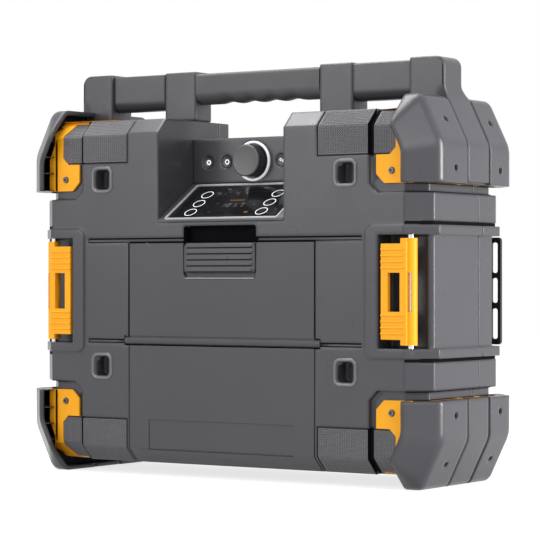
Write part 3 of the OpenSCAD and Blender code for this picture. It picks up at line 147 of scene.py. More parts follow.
class Graph:
    """Builds one node material."""

    # Values of the noise between which most of it lies.
    NOISE_SPAN = (0.3, 0.7)

    def __init__(self, name: str) -> None:
        """Starts an empty material.

        Args:
            name: name of the new material.
        """
        self.material = bpy.data.materials.new(name)
        self.material.use_nodes = True
        self.tree = self.material.node_tree
        self.tree.nodes.clear()
        self.output = self.tree.nodes.new("ShaderNodeOutputMaterial")
        self.shader = self.add("ShaderNodeBsdfPrincipled")
        self.link(self.shader, "BSDF", self.output, "Surface")
        self.coords = self.add("ShaderNodeTexCoord")

    def add(self, kind: str, **settings: object) -> bpy.types.Node:
        """Adds a node.

        Args:
            kind: Blender's node type.
            **settings: attributes of the node, or values of its input sockets by name.

        Returns:
            The new node.
        """
        node = self.tree.nodes.new(kind)
        for key, value in settings.items():
            socket = key.replace("_", " ")
            if socket in node.inputs:
                node.inputs[socket].default_value = value
            else:
                setattr(node, key, value)
        return node

    def link(self, source: bpy.types.Node, out: str | int, target: bpy.types.Node,
             into: str | int) -> None:
        """Joins an output to an input.

        Args:
            source: node that gives the value.
            out: its output socket.
            target: node that takes it.
            into: its input socket.
        """
        self.tree.links.new(source.outputs[out], target.inputs[into])

    def fix(self, **values: object) -> None:
        """Sets the shader's sockets that are the same all over a piece, by name."""
        for key, value in values.items():
            self.shader.inputs[key.replace("_", " ")].default_value = value

    def noise(self, scale: float, detail: float) -> bpy.types.Node:
        """Adds noise on object coordinates.

        Args:
            scale: cells per metre.
            detail: octaves.

        Returns:
            The noise node.
        """
        node = self.add("ShaderNodeTexNoise", Scale=scale, Detail=detail)
        self.link(self.coords, "Object", node, "Vector")
        return node

    def mottle(self, colour: Point, change: Pair, scale: float, detail: float) -> bpy.types.Node:
        """Gives the shader a colour that changes softly over the piece.

        Args:
            colour: the finish's colour.
            change: factors of its darkest and lightest places.
            scale: cells per metre.
            detail: octaves.

        Returns:
            The ramp node that gives the colour.
        """
        ramp = self.add("ShaderNodeValToRGB")
        for stop, position, factor in zip(ramp.color_ramp.elements, self.NOISE_SPAN, change):
            stop.color = (*(min(1.0, channel * factor) for channel in colour), 1)
            stop.position = position
        self.link(self.noise(scale, detail), "Fac", ramp, "Fac")
        self.link(ramp, "Color", self.shader, "Base Color")
        return ramp

    def gloss(self, low: float, high: float, scale: float, detail: float) -> None:
        """Gives the shader a roughness that changes softly over the piece.

        Args:
            low: roughness of its smoothest places.
            high: roughness of its dullest places.
            scale: cells per metre.
            detail: octaves.
        """
        spread = self.add("ShaderNodeMapRange")
        for index, value in enumerate((*self.NOISE_SPAN, low, high), start=1):
            spread.inputs[index].default_value = value
        self.link(self.noise(scale, detail), "Fac", spread, "Value")
        self.link(spread, "Result", self.shader, "Roughness")

    def relief(self, depth: float, scale: float, detail: float) -> bpy.types.Node:
        """Gives the shader a fine relief.

        Args:
            depth: height of the relief in metres.
            scale: cells per metre.
            detail: octaves.

        Returns:
            The bump node.
        """
        node = self.add("ShaderNodeBump", Strength=1.0, Distance=depth)
        self.link(self.noise(scale, detail), "Fac", node, "Height")
        self.link(node, "Normal", self.shader, "Normal")
        return node


@dataclass(frozen=True)
class MouldedPlastic:
    """Injection-moulded plastic with a spark-eroded grain."""

    colour: Point
    roughness: float = 0.45
    grain: float = 0.00002
    grain_scale: float = 2600.0
    variation: float = 0.06
    specular: float = 0.5
    soft_edge: float = 0.0
    edge_samples: int = 8
    gloss_change: Pair = (-0.03, 0.04)

    def build(self, name: str) -> bpy.types.Material:
        """Builds the material.

        Args:
            name: name of the material.

        Returns:
            The material.
        """
        graph = Graph(name)
        graph.mottle(self.colour, (1 - self.variation, 1 + self.variation), scale=9.0, detail=3.0)
        smooth, dull = self.gloss_change
        graph.gloss(self.roughness + smooth, self.roughness + dull, scale=60.0, detail=4.0)
        graph.fix(Specular_IOR_Level=self.specular)
        relief = graph.relief(self.grain, self.grain_scale, detail=2.0)
        if self.soft_edge:
            edge = graph.add("ShaderNodeBevel", Radius=self.soft_edge * MM, samples=self.edge_samples)
            graph.link(edge, "Normal", relief, "Normal")
        return graph.material


@dataclass(frozen=True)
class Metal:
    """Turned, pressed or coated metal."""

    colour: Point
    roughness: float = 0.3
    metallic: float = 1.0
    scratches: float = 0.000004
    change: Pair = (0.9, 1.08)
    gloss_change: Pair = (-0.05, 0.08)

    def build(self, name: str) -> bpy.types.Material:
        """Builds the material.

        Args:
            name: name of the material.

        Returns:
            The material.
        """
        graph = Graph(name)
        graph.mottle(self.colour, self.change, scale=40.0, detail=4.0)
        smooth, dull = self.gloss_change
        graph.gloss(self.roughness + smooth, self.roughness + dull, scale=300.0, detail=3.0)
        graph.fix(Metallic=self.metallic)
        graph.relief(self.scratches, scale=1800.0, detail=3.0)
        return graph.material


@dataclass(frozen=True)
class SmokedGlass:
    """Polished dark window over the display."""

    colour: Point = (0.012, 0.012, 0.014)
    see_through: float = 0.45
    change: Pair = (0.9, 1.1)
    roughness: Pair = (0.05, 0.09)

    def build(self, name: str) -> bpy.types.Material:
        """Builds the material.

        Args:
            name: name of the material.

        Returns:
            The material.
        """
        graph = Graph(name)
        graph.mottle(self.colour, self.change, scale=25.0, detail=2.0)
        graph.gloss(*self.roughness, scale=90.0, detail=3.0)
        graph.fix(Alpha=1 - self.see_through)
        return graph.material


@dataclass(frozen=True)
class LitPlastic:
    """Clear or printed plastic with light behind it."""

    colour: Point
    glow: float = 0.5
    roughness: float = 0.35
    change: Pair = (0.94, 1.04)

    def build(self, name: str) -> bpy.types.Material:
        """Builds the material.

        Args:
            name: name of the material.

        Returns:
            The material.
        """
        graph = Graph(name)
        ramp = graph.mottle(self.colour, self.change, scale=200.0, detail=2.0)
        graph.link(ramp, "Color", graph.shader, "Emission Color")
        graph.fix(Emission_Strength=self.glow, Roughness=self.roughness)
        return graph.material


FINISHES: dict[Skin, MouldedPlastic | Metal | SmokedGlass | LitPlastic] = {
    Skin.DARK: MouldedPlastic((0.0500, 0.0485, 0.0565), roughness=0.30, specular=0.42, soft_edge=4.0),
    Skin.PANEL: MouldedPlastic((0.0470, 0.0458, 0.0528), roughness=0.40, specular=0.40),
    Skin.YELLOW: MouldedPlastic((0.93, 0.40, 0.012), roughness=0.42, variation=0.03, specular=0.22),
    Skin.BLACK: MouldedPlastic((0.012, 0.012, 0.013), roughness=0.5, specular=0.3),
    Skin.BEZEL: MouldedPlastic((0.055, 0.055, 0.059), roughness=0.34, specular=0.4),
    # Near-black that paints the shade in gaps, grooves and hollows.
    Skin.GAP: MouldedPlastic((0.005, 0.005, 0.006), roughness=0.8, specular=0.04),
    Skin.BUMPER: MouldedPlastic((0.0500, 0.0485, 0.0565), roughness=0.30, specular=0.42, soft_edge=5.0),
    # Lighter grey that paints the highlights on the sockets' beads.
    Skin.BEAD: MouldedPlastic((0.10, 0.098, 0.108), roughness=0.22, specular=0.8),
    # Light grey that paints the highlights on the display's trim and under the door's latch.
    Skin.TRIM: MouldedPlastic((0.32, 0.32, 0.34), roughness=0.28, specular=0.6),
    Skin.GRIP: MouldedPlastic((0.058, 0.057, 0.061), roughness=0.5, grain=0.00004, grain_scale=1800.0),
    Skin.GLASS: SmokedGlass(),
    Skin.BOARD: MouldedPlastic((0.02, 0.11, 0.05), roughness=0.4, grain_scale=900.0),
    Skin.STEEL: Metal((0.62, 0.63, 0.65), roughness=0.26),
    Skin.BLACK_STEEL: Metal((0.10, 0.10, 0.11), roughness=0.38, metallic=0.8),
    Skin.LIT_RING: LitPlastic((0.80, 0.81, 0.86), glow=0.35),
    Skin.SEAL: MouldedPlastic((0.015, 0.015, 0.015), roughness=0.75),
    Skin.MESH: MouldedPlastic((0.155, 0.151, 0.163), roughness=0.32, specular=0.6),
    Skin.SPEAKER: MouldedPlastic((0.012, 0.012, 0.013), roughness=0.7, grain_scale=1400.0),
    Skin.MAGNET: Metal((0.2, 0.2, 0.21), roughness=0.5),
    Skin.KNOB: MouldedPlastic((0.075, 0.075, 0.079), roughness=0.34, specular=0.45),
    Skin.BUTTON: MouldedPlastic((0.052, 0.052, 0.056), roughness=0.34, specular=0.45),
    Skin.KEY: MouldedPlastic((0.010, 0.010, 0.012), roughness=0.1, grain=0.000001),
    Skin.SCREEN: MouldedPlastic((0.008, 0.008, 0.010), roughness=0.2, grain=0.000002),
    Skin.WHITE_PRINT: LitPlastic((0.85, 0.86, 0.88), glow=0.5),
    Skin.ORANGE_PRINT: LitPlastic((0.95, 0.42, 0.03), glow=0.9),
    Skin.GREY_PRINT: LitPlastic((0.35, 0.35, 0.36), glow=0.6),
}


class Palette:
    """Builds each finish once and hands it out."""

    def __init__(self) -> None:
        """Starts with no material built."""
        self.made: dict[Skin, bpy.types.Material] = {}

    def get(self, skin: Skin) -> bpy.types.Material:
        """Hands out the material of a finish and builds it at its first use.

        Args:
            skin: the finish.

        Returns:
            Its material.
        """
        if skin not in self.made:
            self.made[skin] = FINISHES[skin].build(f"finish_{skin.value}")
        return self.made[skin]

    def dress(self, piece: bpy.types.Object, skin: Skin) -> bpy.types.Object:
        """Gives a piece one finish.

        Args:
            piece: object whose material slots are filled.
            skin: the finish.

        Returns:
            The same piece.
        """
        piece.data.materials.clear()
        piece.data.materials.append(self.get(skin))
        return piece


# ---- Shared shaping ----


@dataclass(frozen=True)
class Rounding:
    """One pass of rounding over the sharp outer edges of a moulding."""

    width: float
    segments: int = 2
    low: float = 25.0
    high: float = 100.0
    shortest: float = 3.0
    spare: float = 1.05
    where: Callable[[Vector], bool] | None = None

    def chosen(self, edge: bmesh.types.BMEdge) -> bool:
        """Tells whether this pass rounds an edge.

        Args:
            edge: an edge of the moulding.

        Returns:
            True for an outer edge that is long and sharp enough and lies where the pass works.
        """
        if len(edge.link_faces) != 2 or edge.calc_length() < self.shortest * MM or not edge.is_convex:
            return False
        if not self.low <= math.degrees(edge.calc_face_angle()) <= self.high:
            return False
        middle = (edge.verts[0].co + edge.verts[1].co) / (2 * MM)
        return self.where is None or self.where(middle)

    def apply(self, mesh: bmesh.types.BMesh) -> None:
        """Rounds the chosen edges, but not those that meet an edge too short to take it.

        Args:
            mesh: the moulding.
        """
        mesh.edges.index_update()
        picked = {edge for edge in mesh.edges if self.chosen(edge)}
        reach = self.width * MM * self.spare
        edges = [
            edge
            for edge in picked
            if all(
                other is edge or other in picked or other.calc_length() >= reach
                for vertex in edge.verts
                for other in vertex.link_edges
            )
        ]
        round_edges(mesh, sorted(edges, key=lambda edge: edge.index), self.width, self.segments)


@dataclass
class Workshop:
    """Makes, dresses and seats the pieces of the radio."""

    frame: dict
    palette: Palette = field(default_factory=Palette)
    made: int = 0
    join: float = 0.003

    def place(self, mesh: bmesh.types.BMesh, name: str, skin: Skin, body: str,
              slot: Skin | None = None, smooth: float = 32.0, weighted: bool = True
              ) -> bpy.types.Object:
        """Turns a bmesh into a finished piece on its body.

        Args:
            mesh: the shape, which is freed.
            name: name of the piece.
            skin: its finish.
            body: the body that it rides on.
            slot: not used.
            smooth: faces that meet at less than this angle shade as one.
            weighted: whether flat faces keep their own normals beside rounded edges.

        Returns:
            The new object.
        """
        data = bpy.data.meshes.new(name)
        mesh.to_mesh(data)
        mesh.free()
        data.shade_smooth()
        data.set_sharp_from_angle(angle=math.radians(smooth))
        piece = bpy.data.objects.new(name, data)
        bpy.context.scene.collection.objects.link(piece)
        if weighted:
            self.even_normals(piece)
        self.palette.dress(piece, skin)
        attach(piece, body)
        self.made += 1
        return piece

    def place_shadow(self, mesh: bmesh.types.BMesh, name: str, body: str = RADIO,
                     slot: Skin = Skin.BLACK) -> bpy.types.Object:
        """Places a black strip that paints the shade in a gap, groove or hollow."""
        return self.place(mesh, name, Skin.GAP, body, slot=slot)

    def even_normals(self, piece: bpy.types.Object) -> None:
        """Lets flat faces keep their own normals beside rounded edges."""
        normals = piece.modifiers.new("even_normals", "WEIGHTED_NORMAL")
        normals.keep_sharp = True

    def copy_node(self, node: str) -> bmesh.types.BMesh:
        """Copies a solid's mesh with its loose triangles merged into whole faces.

        Args:
            node: name of the solid.

        Returns:
            The merged copy.
        """
        mesh = bmesh.new()
        mesh.from_mesh(self.frame["nodes"][node].data)
        bmesh.ops.remove_doubles(mesh, verts=mesh.verts, dist=self.join * MM)
        merge_flat(mesh)
        return mesh

    def body_of(self, node: str) -> str:
        """Returns the body that a solid rides on."""
        return self.frame["nodes"][node]["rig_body"]

    def round_node(self, node: str, skin: Skin, *passes: Rounding, slot: Skin | None = None,
                   reshape: Callable[[bmesh.types.BMesh], None] | None = None) -> bpy.types.Object:
        """Replaces a solid by a copy with rounded edges.

        Args:
            node: name of the solid.
            skin: finish of the copy.
            *passes: the roundings, in order.
            slot: passed on to place.
            reshape: an optional change of the copy before its edges are rounded.

        Returns:
            The new piece.
        """
        mesh = self.copy_node(node)
        if reshape is not None:
            reshape(mesh)
        for rounding in passes:
            rounding.apply(mesh)
        piece = self.place(mesh, f"{node}_moulding", skin, self.body_of(node), slot)
        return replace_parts(piece, node)

    def keep_nodes(self, skin: Skin, *nodes: str) -> None:
        """Keeps solids as they are and gives them a finish."""
        for node in nodes:
            self.palette.dress(self.frame["nodes"][node], skin)


def round_edges(mesh: bmesh.types.BMesh, edges: Sequence[bmesh.types.BMEdge], width: float,
                steps: int) -> None:
    """Rounds edges.

    Args:
        mesh: the shape.
        edges: the edges to round.
        width: how far the rounding reaches from the edge, in millimetres.
        steps: faces of each rounding.
    """
    bmesh.ops.bevel(
        mesh, geom=edges, offset=width * MM, offset_type="OFFSET", segments=steps, profile=0.5,
        affect="EDGES", clamp_overlap=False, material=-1,
    )


def round_corners(mesh: bmesh.types.BMesh, corners: Sequence[bmesh.types.BMVert], radius: float,
                  steps: int) -> None:
    """Rounds the corners of a flat face.

    Args:
        mesh: a bmesh with one flat face.
        corners: the corners to round.
        radius: their radius in millimetres.
        steps: faces of each corner's arc.
    """
    bmesh.ops.bevel(
        mesh, geom=corners, offset=radius * MM, offset_type="OFFSET", segments=steps, profile=0.5,
        affect="VERTICES", clamp_overlap=False, material=-1,
    )


def merge_flat(mesh: bmesh.types.BMesh, bend: float = 0.5) -> None:
    """Merges neighbouring faces that lie in one plane.

    Args:
        mesh: the shape.
        bend: greatest angle between faces that count as flat.
    """
    bmesh.ops.dissolve_limit(
        mesh, angle_limit=math.radians(bend), use_dissolve_boundaries=False, verts=mesh.verts,
        edges=mesh.edges, delimit=set(),
    )


def face_from(points: Sequence[Point]) -> bmesh.types.BMesh:
    """Makes one flat face.

    Args:
        points: its corners in millimetres, in order.

    Returns:
        A bmesh with that face.
    """
    mesh = bmesh.new()
    mesh.faces.new([mesh.verts.new(Vector(point) * MM) for point in points])
    return mesh


def draw_out(mesh: bmesh.types.BMesh, depth: Point) -> set[bmesh.types.BMVert]:
    """Extrudes a flat face into a closed solid.

    Args:
        mesh: a bmesh with one flat face.
        depth: direction and length of the extrusion in millimetres.

    Returns:
        The points of the far side.
    """
    made = bmesh.ops.extrude_face_region(mesh, geom=mesh.faces[:], use_keep_orig=True)
    moved = [item for item in made["geom"] if isinstance(item, bmesh.types.BMVert)]
    bmesh.ops.translate(mesh, vec=Vector(depth) * MM, verts=moved)
    return set(moved)


def prism(points: Sequence[Point], depth: Point) -> bmesh.types.BMesh:
    """Makes a closed solid from a flat outline.

    Args:
        points: corners of the outline in millimetres.
        depth: direction and length that it is extruded by.

    Returns:
        The closed bmesh.
    """
    mesh = face_from(points)
    draw_out(mesh, depth)
    bmesh.ops.recalc_face_normals(mesh, faces=mesh.faces)
    return mesh


def plate(plan: Sequence[Pair], low: float, high: float) -> bmesh.types.BMesh:
    """Makes a level plate from its plan in X and Y, between two heights."""
    return prism([(x, y, low) for x, y in plan], (0, 0, high - low))


def rounded_bead(low: Point, high: Point, radius: float, steps: Sequence[Pair], arc: int = 6
                 ) -> bmesh.types.BMesh:
    """Makes a moulded bead round a rectangle with rounded corners, facing up the Z axis.

    Args:
        low: lower left corner of the rectangle in millimetres.
        high: its upper right corner.
        radius: radius of its corners.
        steps: inset and rise of each step of the bead, from its outer edge inwards.
        arc: faces of each corner's arc.

    Returns:
        The closed ring.
    """
    (left, under), (right, over) = low, high
    mesh = face_from([(left, under, 0), (right, under, 0), (right, over, 0), (left, over, 0)])
    round_corners(mesh, mesh.verts[:], radius, arc)
    face = mesh.faces[:][0]
    for inset, rise in steps:
        bmesh.ops.inset_region(
            mesh, faces=[face], thickness=inset * MM, depth=rise * MM, use_even_offset=True,
            use_boundary=True,
        )
    bmesh.ops.delete(mesh, geom=[face], context="FACES")
    bmesh.ops.bridge_loops(mesh, edges=[edge for edge in mesh.edges if edge.is_boundary])
    bmesh.ops.recalc_face_normals(mesh, faces=mesh.faces)
    return mesh


def lathe(profile: Sequence[Point], place: Matrix, steps: int = 64) -> bmesh.types.BMesh:
    """Turns a profile round the Z axis.

    Args:
        profile: radius and height of each point in millimetres, from pole to pole.
        place: where the turned form goes.
        steps: faces round it.

    Returns:
        The closed bmesh.
    """
    mesh = bmesh.new()
    verts = [mesh.verts.new((radius * MM, 0, height * MM)) for radius, height in profile]
    edges = [mesh.edges.new(pair) for pair in zip(verts, verts[1:])]
    bmesh.ops.spin(
        mesh, geom=verts + edges, cent=(0, 0, 0), axis=(0, 0, 1), dvec=(0, 0, 0), angle=math.tau,
        steps=steps, use_merge=True,
    )
    bmesh.ops.remove_doubles(mesh, verts=mesh.verts, dist=TOUCH)
    bmesh.ops.recalc_face_normals(mesh, faces=mesh.faces)
    bmesh.ops.transform(mesh, matrix=place, verts=mesh.verts)
    return mesh


def ring_plate(outer: float, inner: float, thick: float, place: Matrix, corners: int = 48
               ) -> bmesh.types.BMesh:
    """Makes a flat ring with any number of corners.

    Args:
        outer: outer radius.
        inner: radius of its hole.
        thick: its thickness, from the place's plane up.
        place: where it goes.
        corners: corners round it.

    Returns:
        The closed bmesh.
    """
    return lathe([(inner, 0), (outer, 0), (outer, thick), (inner, thick), (inner, 0)], place, corners)


def slab(low: Point, high: Point, place: Matrix | None = None) -> bmesh.types.BMesh:
    """Makes a box between two corners.

    Args:
        low: its lowest corner in millimetres.
        high: its highest corner.
        place: an optional turn or shift of the finished box.

    Returns:
        The closed bmesh.
    """
    mesh = bmesh.new()
    size = Vector(high) - Vector(low)
    middle = (Vector(high) + Vector(low)) / 2
    matrix = Matrix.Translation(middle * MM) @ Matrix.Diagonal((*(size * MM), 1))
    bmesh.ops.create_cube(mesh, size=1.0, matrix=(place or Matrix()) @ matrix)
    return mesh


def soften(mesh: bmesh.types.BMesh, width: float, steps: int = 2, low: float = 30.0) -> None:
    """Rounds every edge that is sharper than an angle and isn't folded flat.

    Args:
        mesh: the shape.
        width: how far the rounding reaches from the edge.
        steps: faces of each rounding.
        low: least angle between the faces.
    """
    folded = 179.0
    edges = [
        edge for edge in mesh.edges
        if len(edge.link_faces) == 2 and low <= math.degrees(edge.calc_face_angle()) <= folded
    ]
    round_edges(mesh, edges, width, steps)


def join_meshes(parts: Iterable[bmesh.types.BMesh]) -> bmesh.types.BMesh:
    """Puts several bmeshes into one.

    Args:
        parts: the bmeshes, which are freed.

    Returns:
        The joined bmesh.
    """
    whole = bmesh.new()
    for part in parts:
        data = bpy.data.meshes.new("joined")
        part.to_mesh(data)
        part.free()
        whole.from_mesh(data)
        bpy.data.meshes.remove(data)
    return whole


def cut(mesh: bmesh.types.BMesh, at: Point, across: Point, clear: bool = False) -> None:
    """Cuts every face along a plane.

    Args:
        mesh: the shape.
        at: a point of the plane in millimetres.
        across: direction across the plane.
        clear: whether what lies beyond the plane goes, which leaves the shape open there.
    """
    bmesh.ops.bisect_plane(
        mesh, geom=mesh.verts[:] + mesh.edges[:] + mesh.faces[:], dist=TOUCH,
        plane_co=Vector(at) * MM, plane_no=Vector(across), clear_outer=clear,
    )


def convex_form(planes: Sequence[tuple[Point, float]]) -> bmesh.types.BMesh:
    """Makes the convex solid that a set of planes encloses.

    Args:
        planes: each face's outward direction and its distance from the origin in millimetres.

    Returns:
        The closed bmesh with one face for each plane.
    """
    parallel, outside, same = 1e-6, 1e-4, 0.001
    halves = [(Vector(normal).normalized(), distance) for normal, distance in planes]
    mesh = bmesh.new()
    for (na, da), (nb, db), (nc, dc) in combinations(halves, 3):
        spread = na.dot(nb.cross(nc))
        if abs(spread) < parallel:
            continue
        corner = (nb.cross(nc) * da + nc.cross(na) * db + na.cross(nb) * dc) / spread
        if all(normal.dot(corner) <= distance + outside for normal, distance in halves):
            mesh.verts.new(corner * MM)
    bmesh.ops.remove_doubles(mesh, verts=mesh.verts, dist=same * MM)
    bmesh.ops.convex_hull(mesh, input=mesh.verts[:])
    merge_flat(mesh)
    bmesh.ops.recalc_face_normals(mesh, faces=mesh.faces)
    return mesh


def round_hole(mesh: bmesh.types.BMesh, centre: Point, radius: float, cell: float,
               steps: int = 4) -> None:
    """Opens a round hole in the flat face that holds a point.

    Args:
        mesh: an open skin.
        centre: middle of the hole in millimetres.
        radius: its radius.
        cell: half the side of the square that is cut round it.
        steps: faces of a quarter of the hole.
    """
    middle, near = Vector(centre) * MM, 0.05

    def holder() -> bmesh.types.BMFace:
        """Returns the face that holds the middle of the hole."""
        return next(
            face for face in mesh.faces
            if abs((middle - face.verts[0].co).dot(face.normal)) < near * MM
            and bmesh.geometry.intersect_face_point(face, middle)
        )

    along = Vector((0, 1, 0))
    across = holder().normal.cross(along).normalized()
    for way in (along, -along, across, -across):
        face = holder()
        bmesh.ops.bisect_plane(
            mesh, geom=[face, *face.edges, *face.verts], dist=TOUCH,
            plane_co=middle + way * cell * MM, plane_no=way,
        )
    face = holder()
    bmesh.ops.bisect_edges(mesh, edges=face.edges[:], cuts=steps - 1)
    bmesh.ops.inset_individual(mesh, faces=[face], thickness=(cell - radius) * MM)
    for vert in face.verts:
        offset = vert.co - middle
        a, b = offset.dot(along), offset.dot(across)
        if abs(a) >= abs(b):
            angle = (0 if a > 0 else math.pi) + math.pi / 4 * b / a
        else:
            angle = math.copysign(math.pi / 2, b) - math.pi / 4 * a / b
        vert.co = middle + (along * math.cos(angle) + across * math.sin(angle)) * radius * MM
    bmesh.ops.delete(mesh, geom=[face], context="FACES")


def corner_name(side: Side, level: Level) -> str:
    """Returns a corner's name, such as upper_left."""
    return f"{level.name.lower()}_{side.name.lower()}"


def to_corner(mesh: bmesh.types.BMesh, side: Side, level: Level = Level.UPPER) -> bmesh.types.BMesh:
    """Mirrors a shape from the upper right corner to any corner and keeps its faces outwards.

    Args:
        mesh: the shape, with its heights measured from the body's middle.
        side: left or right.
        level: upper or lower.

    Returns:
        The same bmesh.
    """
    mirror = Matrix.Diagonal((side.value, 1, level.value, 1))
    place = Matrix.Translation((0, 0, MIDDLE_Z * MM)) @ mirror
    bmesh.ops.transform(mesh, matrix=place, verts=mesh.verts)
    if place.determinant() < 0:
        bmesh.ops.reverse_faces(mesh, faces=mesh.faces[:])
    return mesh


def ease(value: float, start: float, end: float) -> float:
    """Returns a share that rises gently from 0 at the start to 1 at the end."""
    share = min(1.0, max(0.0, (value - start) / (end - start)))
    return share * share * (3 - 2 * share)


# ---- Sub-assemblies ----


@dataclass
class Socket:
    """Rounded bead round one of the stacking sockets on the front."""

    shop: Workshop
    x: float
    z: float
    half: Pair = (12.1, 12.4)
    radius: float = 6.5
    sunk: float = 0.05
    steps: tuple[Pair, ...] = (
        (0.25, 0.75), (0.45, 0.45), (0.6, 0.2), (0.6, 0.0), (0.6, -0.2), (0.5, -0.45), (0.35, -0.8),
        (0.3, -3.0),
    )

    def build(self, name: str) -> None:
        """Builds the bead.

        Args:
            name: name of the piece.
        """
        wide, high = self.half
        mesh = rounded_bead((-wide, -high), (wide, high), self.radius, self.steps)
        place = Matrix.Translation(Vector((self.x, FRONT_Y + self.sunk, self.z)) * MM) @ TO_FRONT
        bmesh.ops.transform(mesh, matrix=place, verts=mesh.verts)
        # The bead's lighter grey paints its highlight.
        self.shop.place(mesh, name, Skin.BEAD, RADIO, slot=Skin.DARK, smooth=60, weighted=False)


@dataclass
class Housing:
    """Front and rear shells with the panel below the door."""

    shop: Workshop
    edge: Rounding = Rounding(0.7, low=20, shortest=2.5)
    panel_edge: Rounding = Rounding(0.5)
    # Plan, lowest and highest point of each black strip of painted shade in the grooves, in the upper
    # right corner.
    gaps: tuple[tuple[Outline, float, float], ...] = (
        (((199.75, -63.55), (208.3, -55.0), (208.3, 54.0), (206.9, 54.0), (206.9, -53.5),
          (199.75, -60.75)), 56.85, 59.75),
        (((188.9, -67.0), (203.7, -52.4), (203.7, 54.0), (202.9, 54.0), (202.9, -52.2),
          (188.5, -66.6)), 84.35, 85.15),
        (((190.5, -72.9), (199.8, -63.6), (199.98, -63.78), (190.68, -73.08)), 57.3, 59.75),
    )
    # Corners of the black screen behind the rear vents, which stops the light through the body and
    # paints the shade inside it.
    screen: tuple[Point, Point] = ((20.0, 68.9, 68.0), (87.0, 69.7, 121.0))
    socket_x: float = 131.7
    socket_zs: Pair = (99.0, 270.0)
    socket_reach: float = 14.0
    rim_rise: float = 0.5
    same: float = 0.01

    def flatten_sockets(self, mesh: bmesh.types.BMesh) -> None:
        """Lays the sockets' flat rims back to the front, where the rounded beads cover them.

        Args:
            mesh: copy of the front shell.
        """
        for vert in mesh.verts:
            x, y, z = vert.co / MM
            beside = abs(abs(x) - self.socket_x) < self.socket_reach
            level = any(abs(z - height) < self.socket_reach for height in self.socket_zs)
            if beside and level and y < FRONT_Y - self.rim_rise:
                vert.co.y = FRONT_Y * MM
        bmesh.ops.remove_doubles(mesh, verts=mesh.verts, dist=self.same * MM)
        bmesh.ops.dissolve_degenerate(mesh, dist=self.same * MM, edges=mesh.edges)

    def shadow_gaps(self) -> bmesh.types.BMesh:
        """Makes the black strips of painted shade in the side grooves and at the foot of the corner
        recesses.

        Returns:
            The strips of all four corners.
        """
        return join_meshes([
            to_corner(plate(plan, low, high), side, level)
            for side in Side for level in Level for plan, low, high in self.gaps
        ])

    def build(self) -> None:
        """Rounds the shells' edges, dresses them, and adds the sockets' beads, strips of painted shade
        and a black screen of painted shade behind the vents.
        """
        self.shop.round_node("front_housing", Skin.DARK, self.edge, reshape=self.flatten_sockets)
        self.shop.round_node("rear_housing", Skin.DARK, self.edge)
        self.shop.round_node("lower_front_panel", Skin.PANEL, self.panel_edge, slot=Skin.DARK)
        self.shop.keep_nodes(Skin.BLACK_STEEL, "housing_screws")
        # Black strips and a screen that paint the shade in the grooves and behind the vents.
        self.shop.place_shadow(self.shadow_gaps(), "shadow_gaps")
        self.shop.place_shadow(slab(*self.screen), "vent_screen")
        for side in Side:
            for level, z in zip(Level, self.socket_zs):
                name = f"socket_{corner_name(side, level)}"
                Socket(self.shop, side.value * self.socket_x, z).build(name)


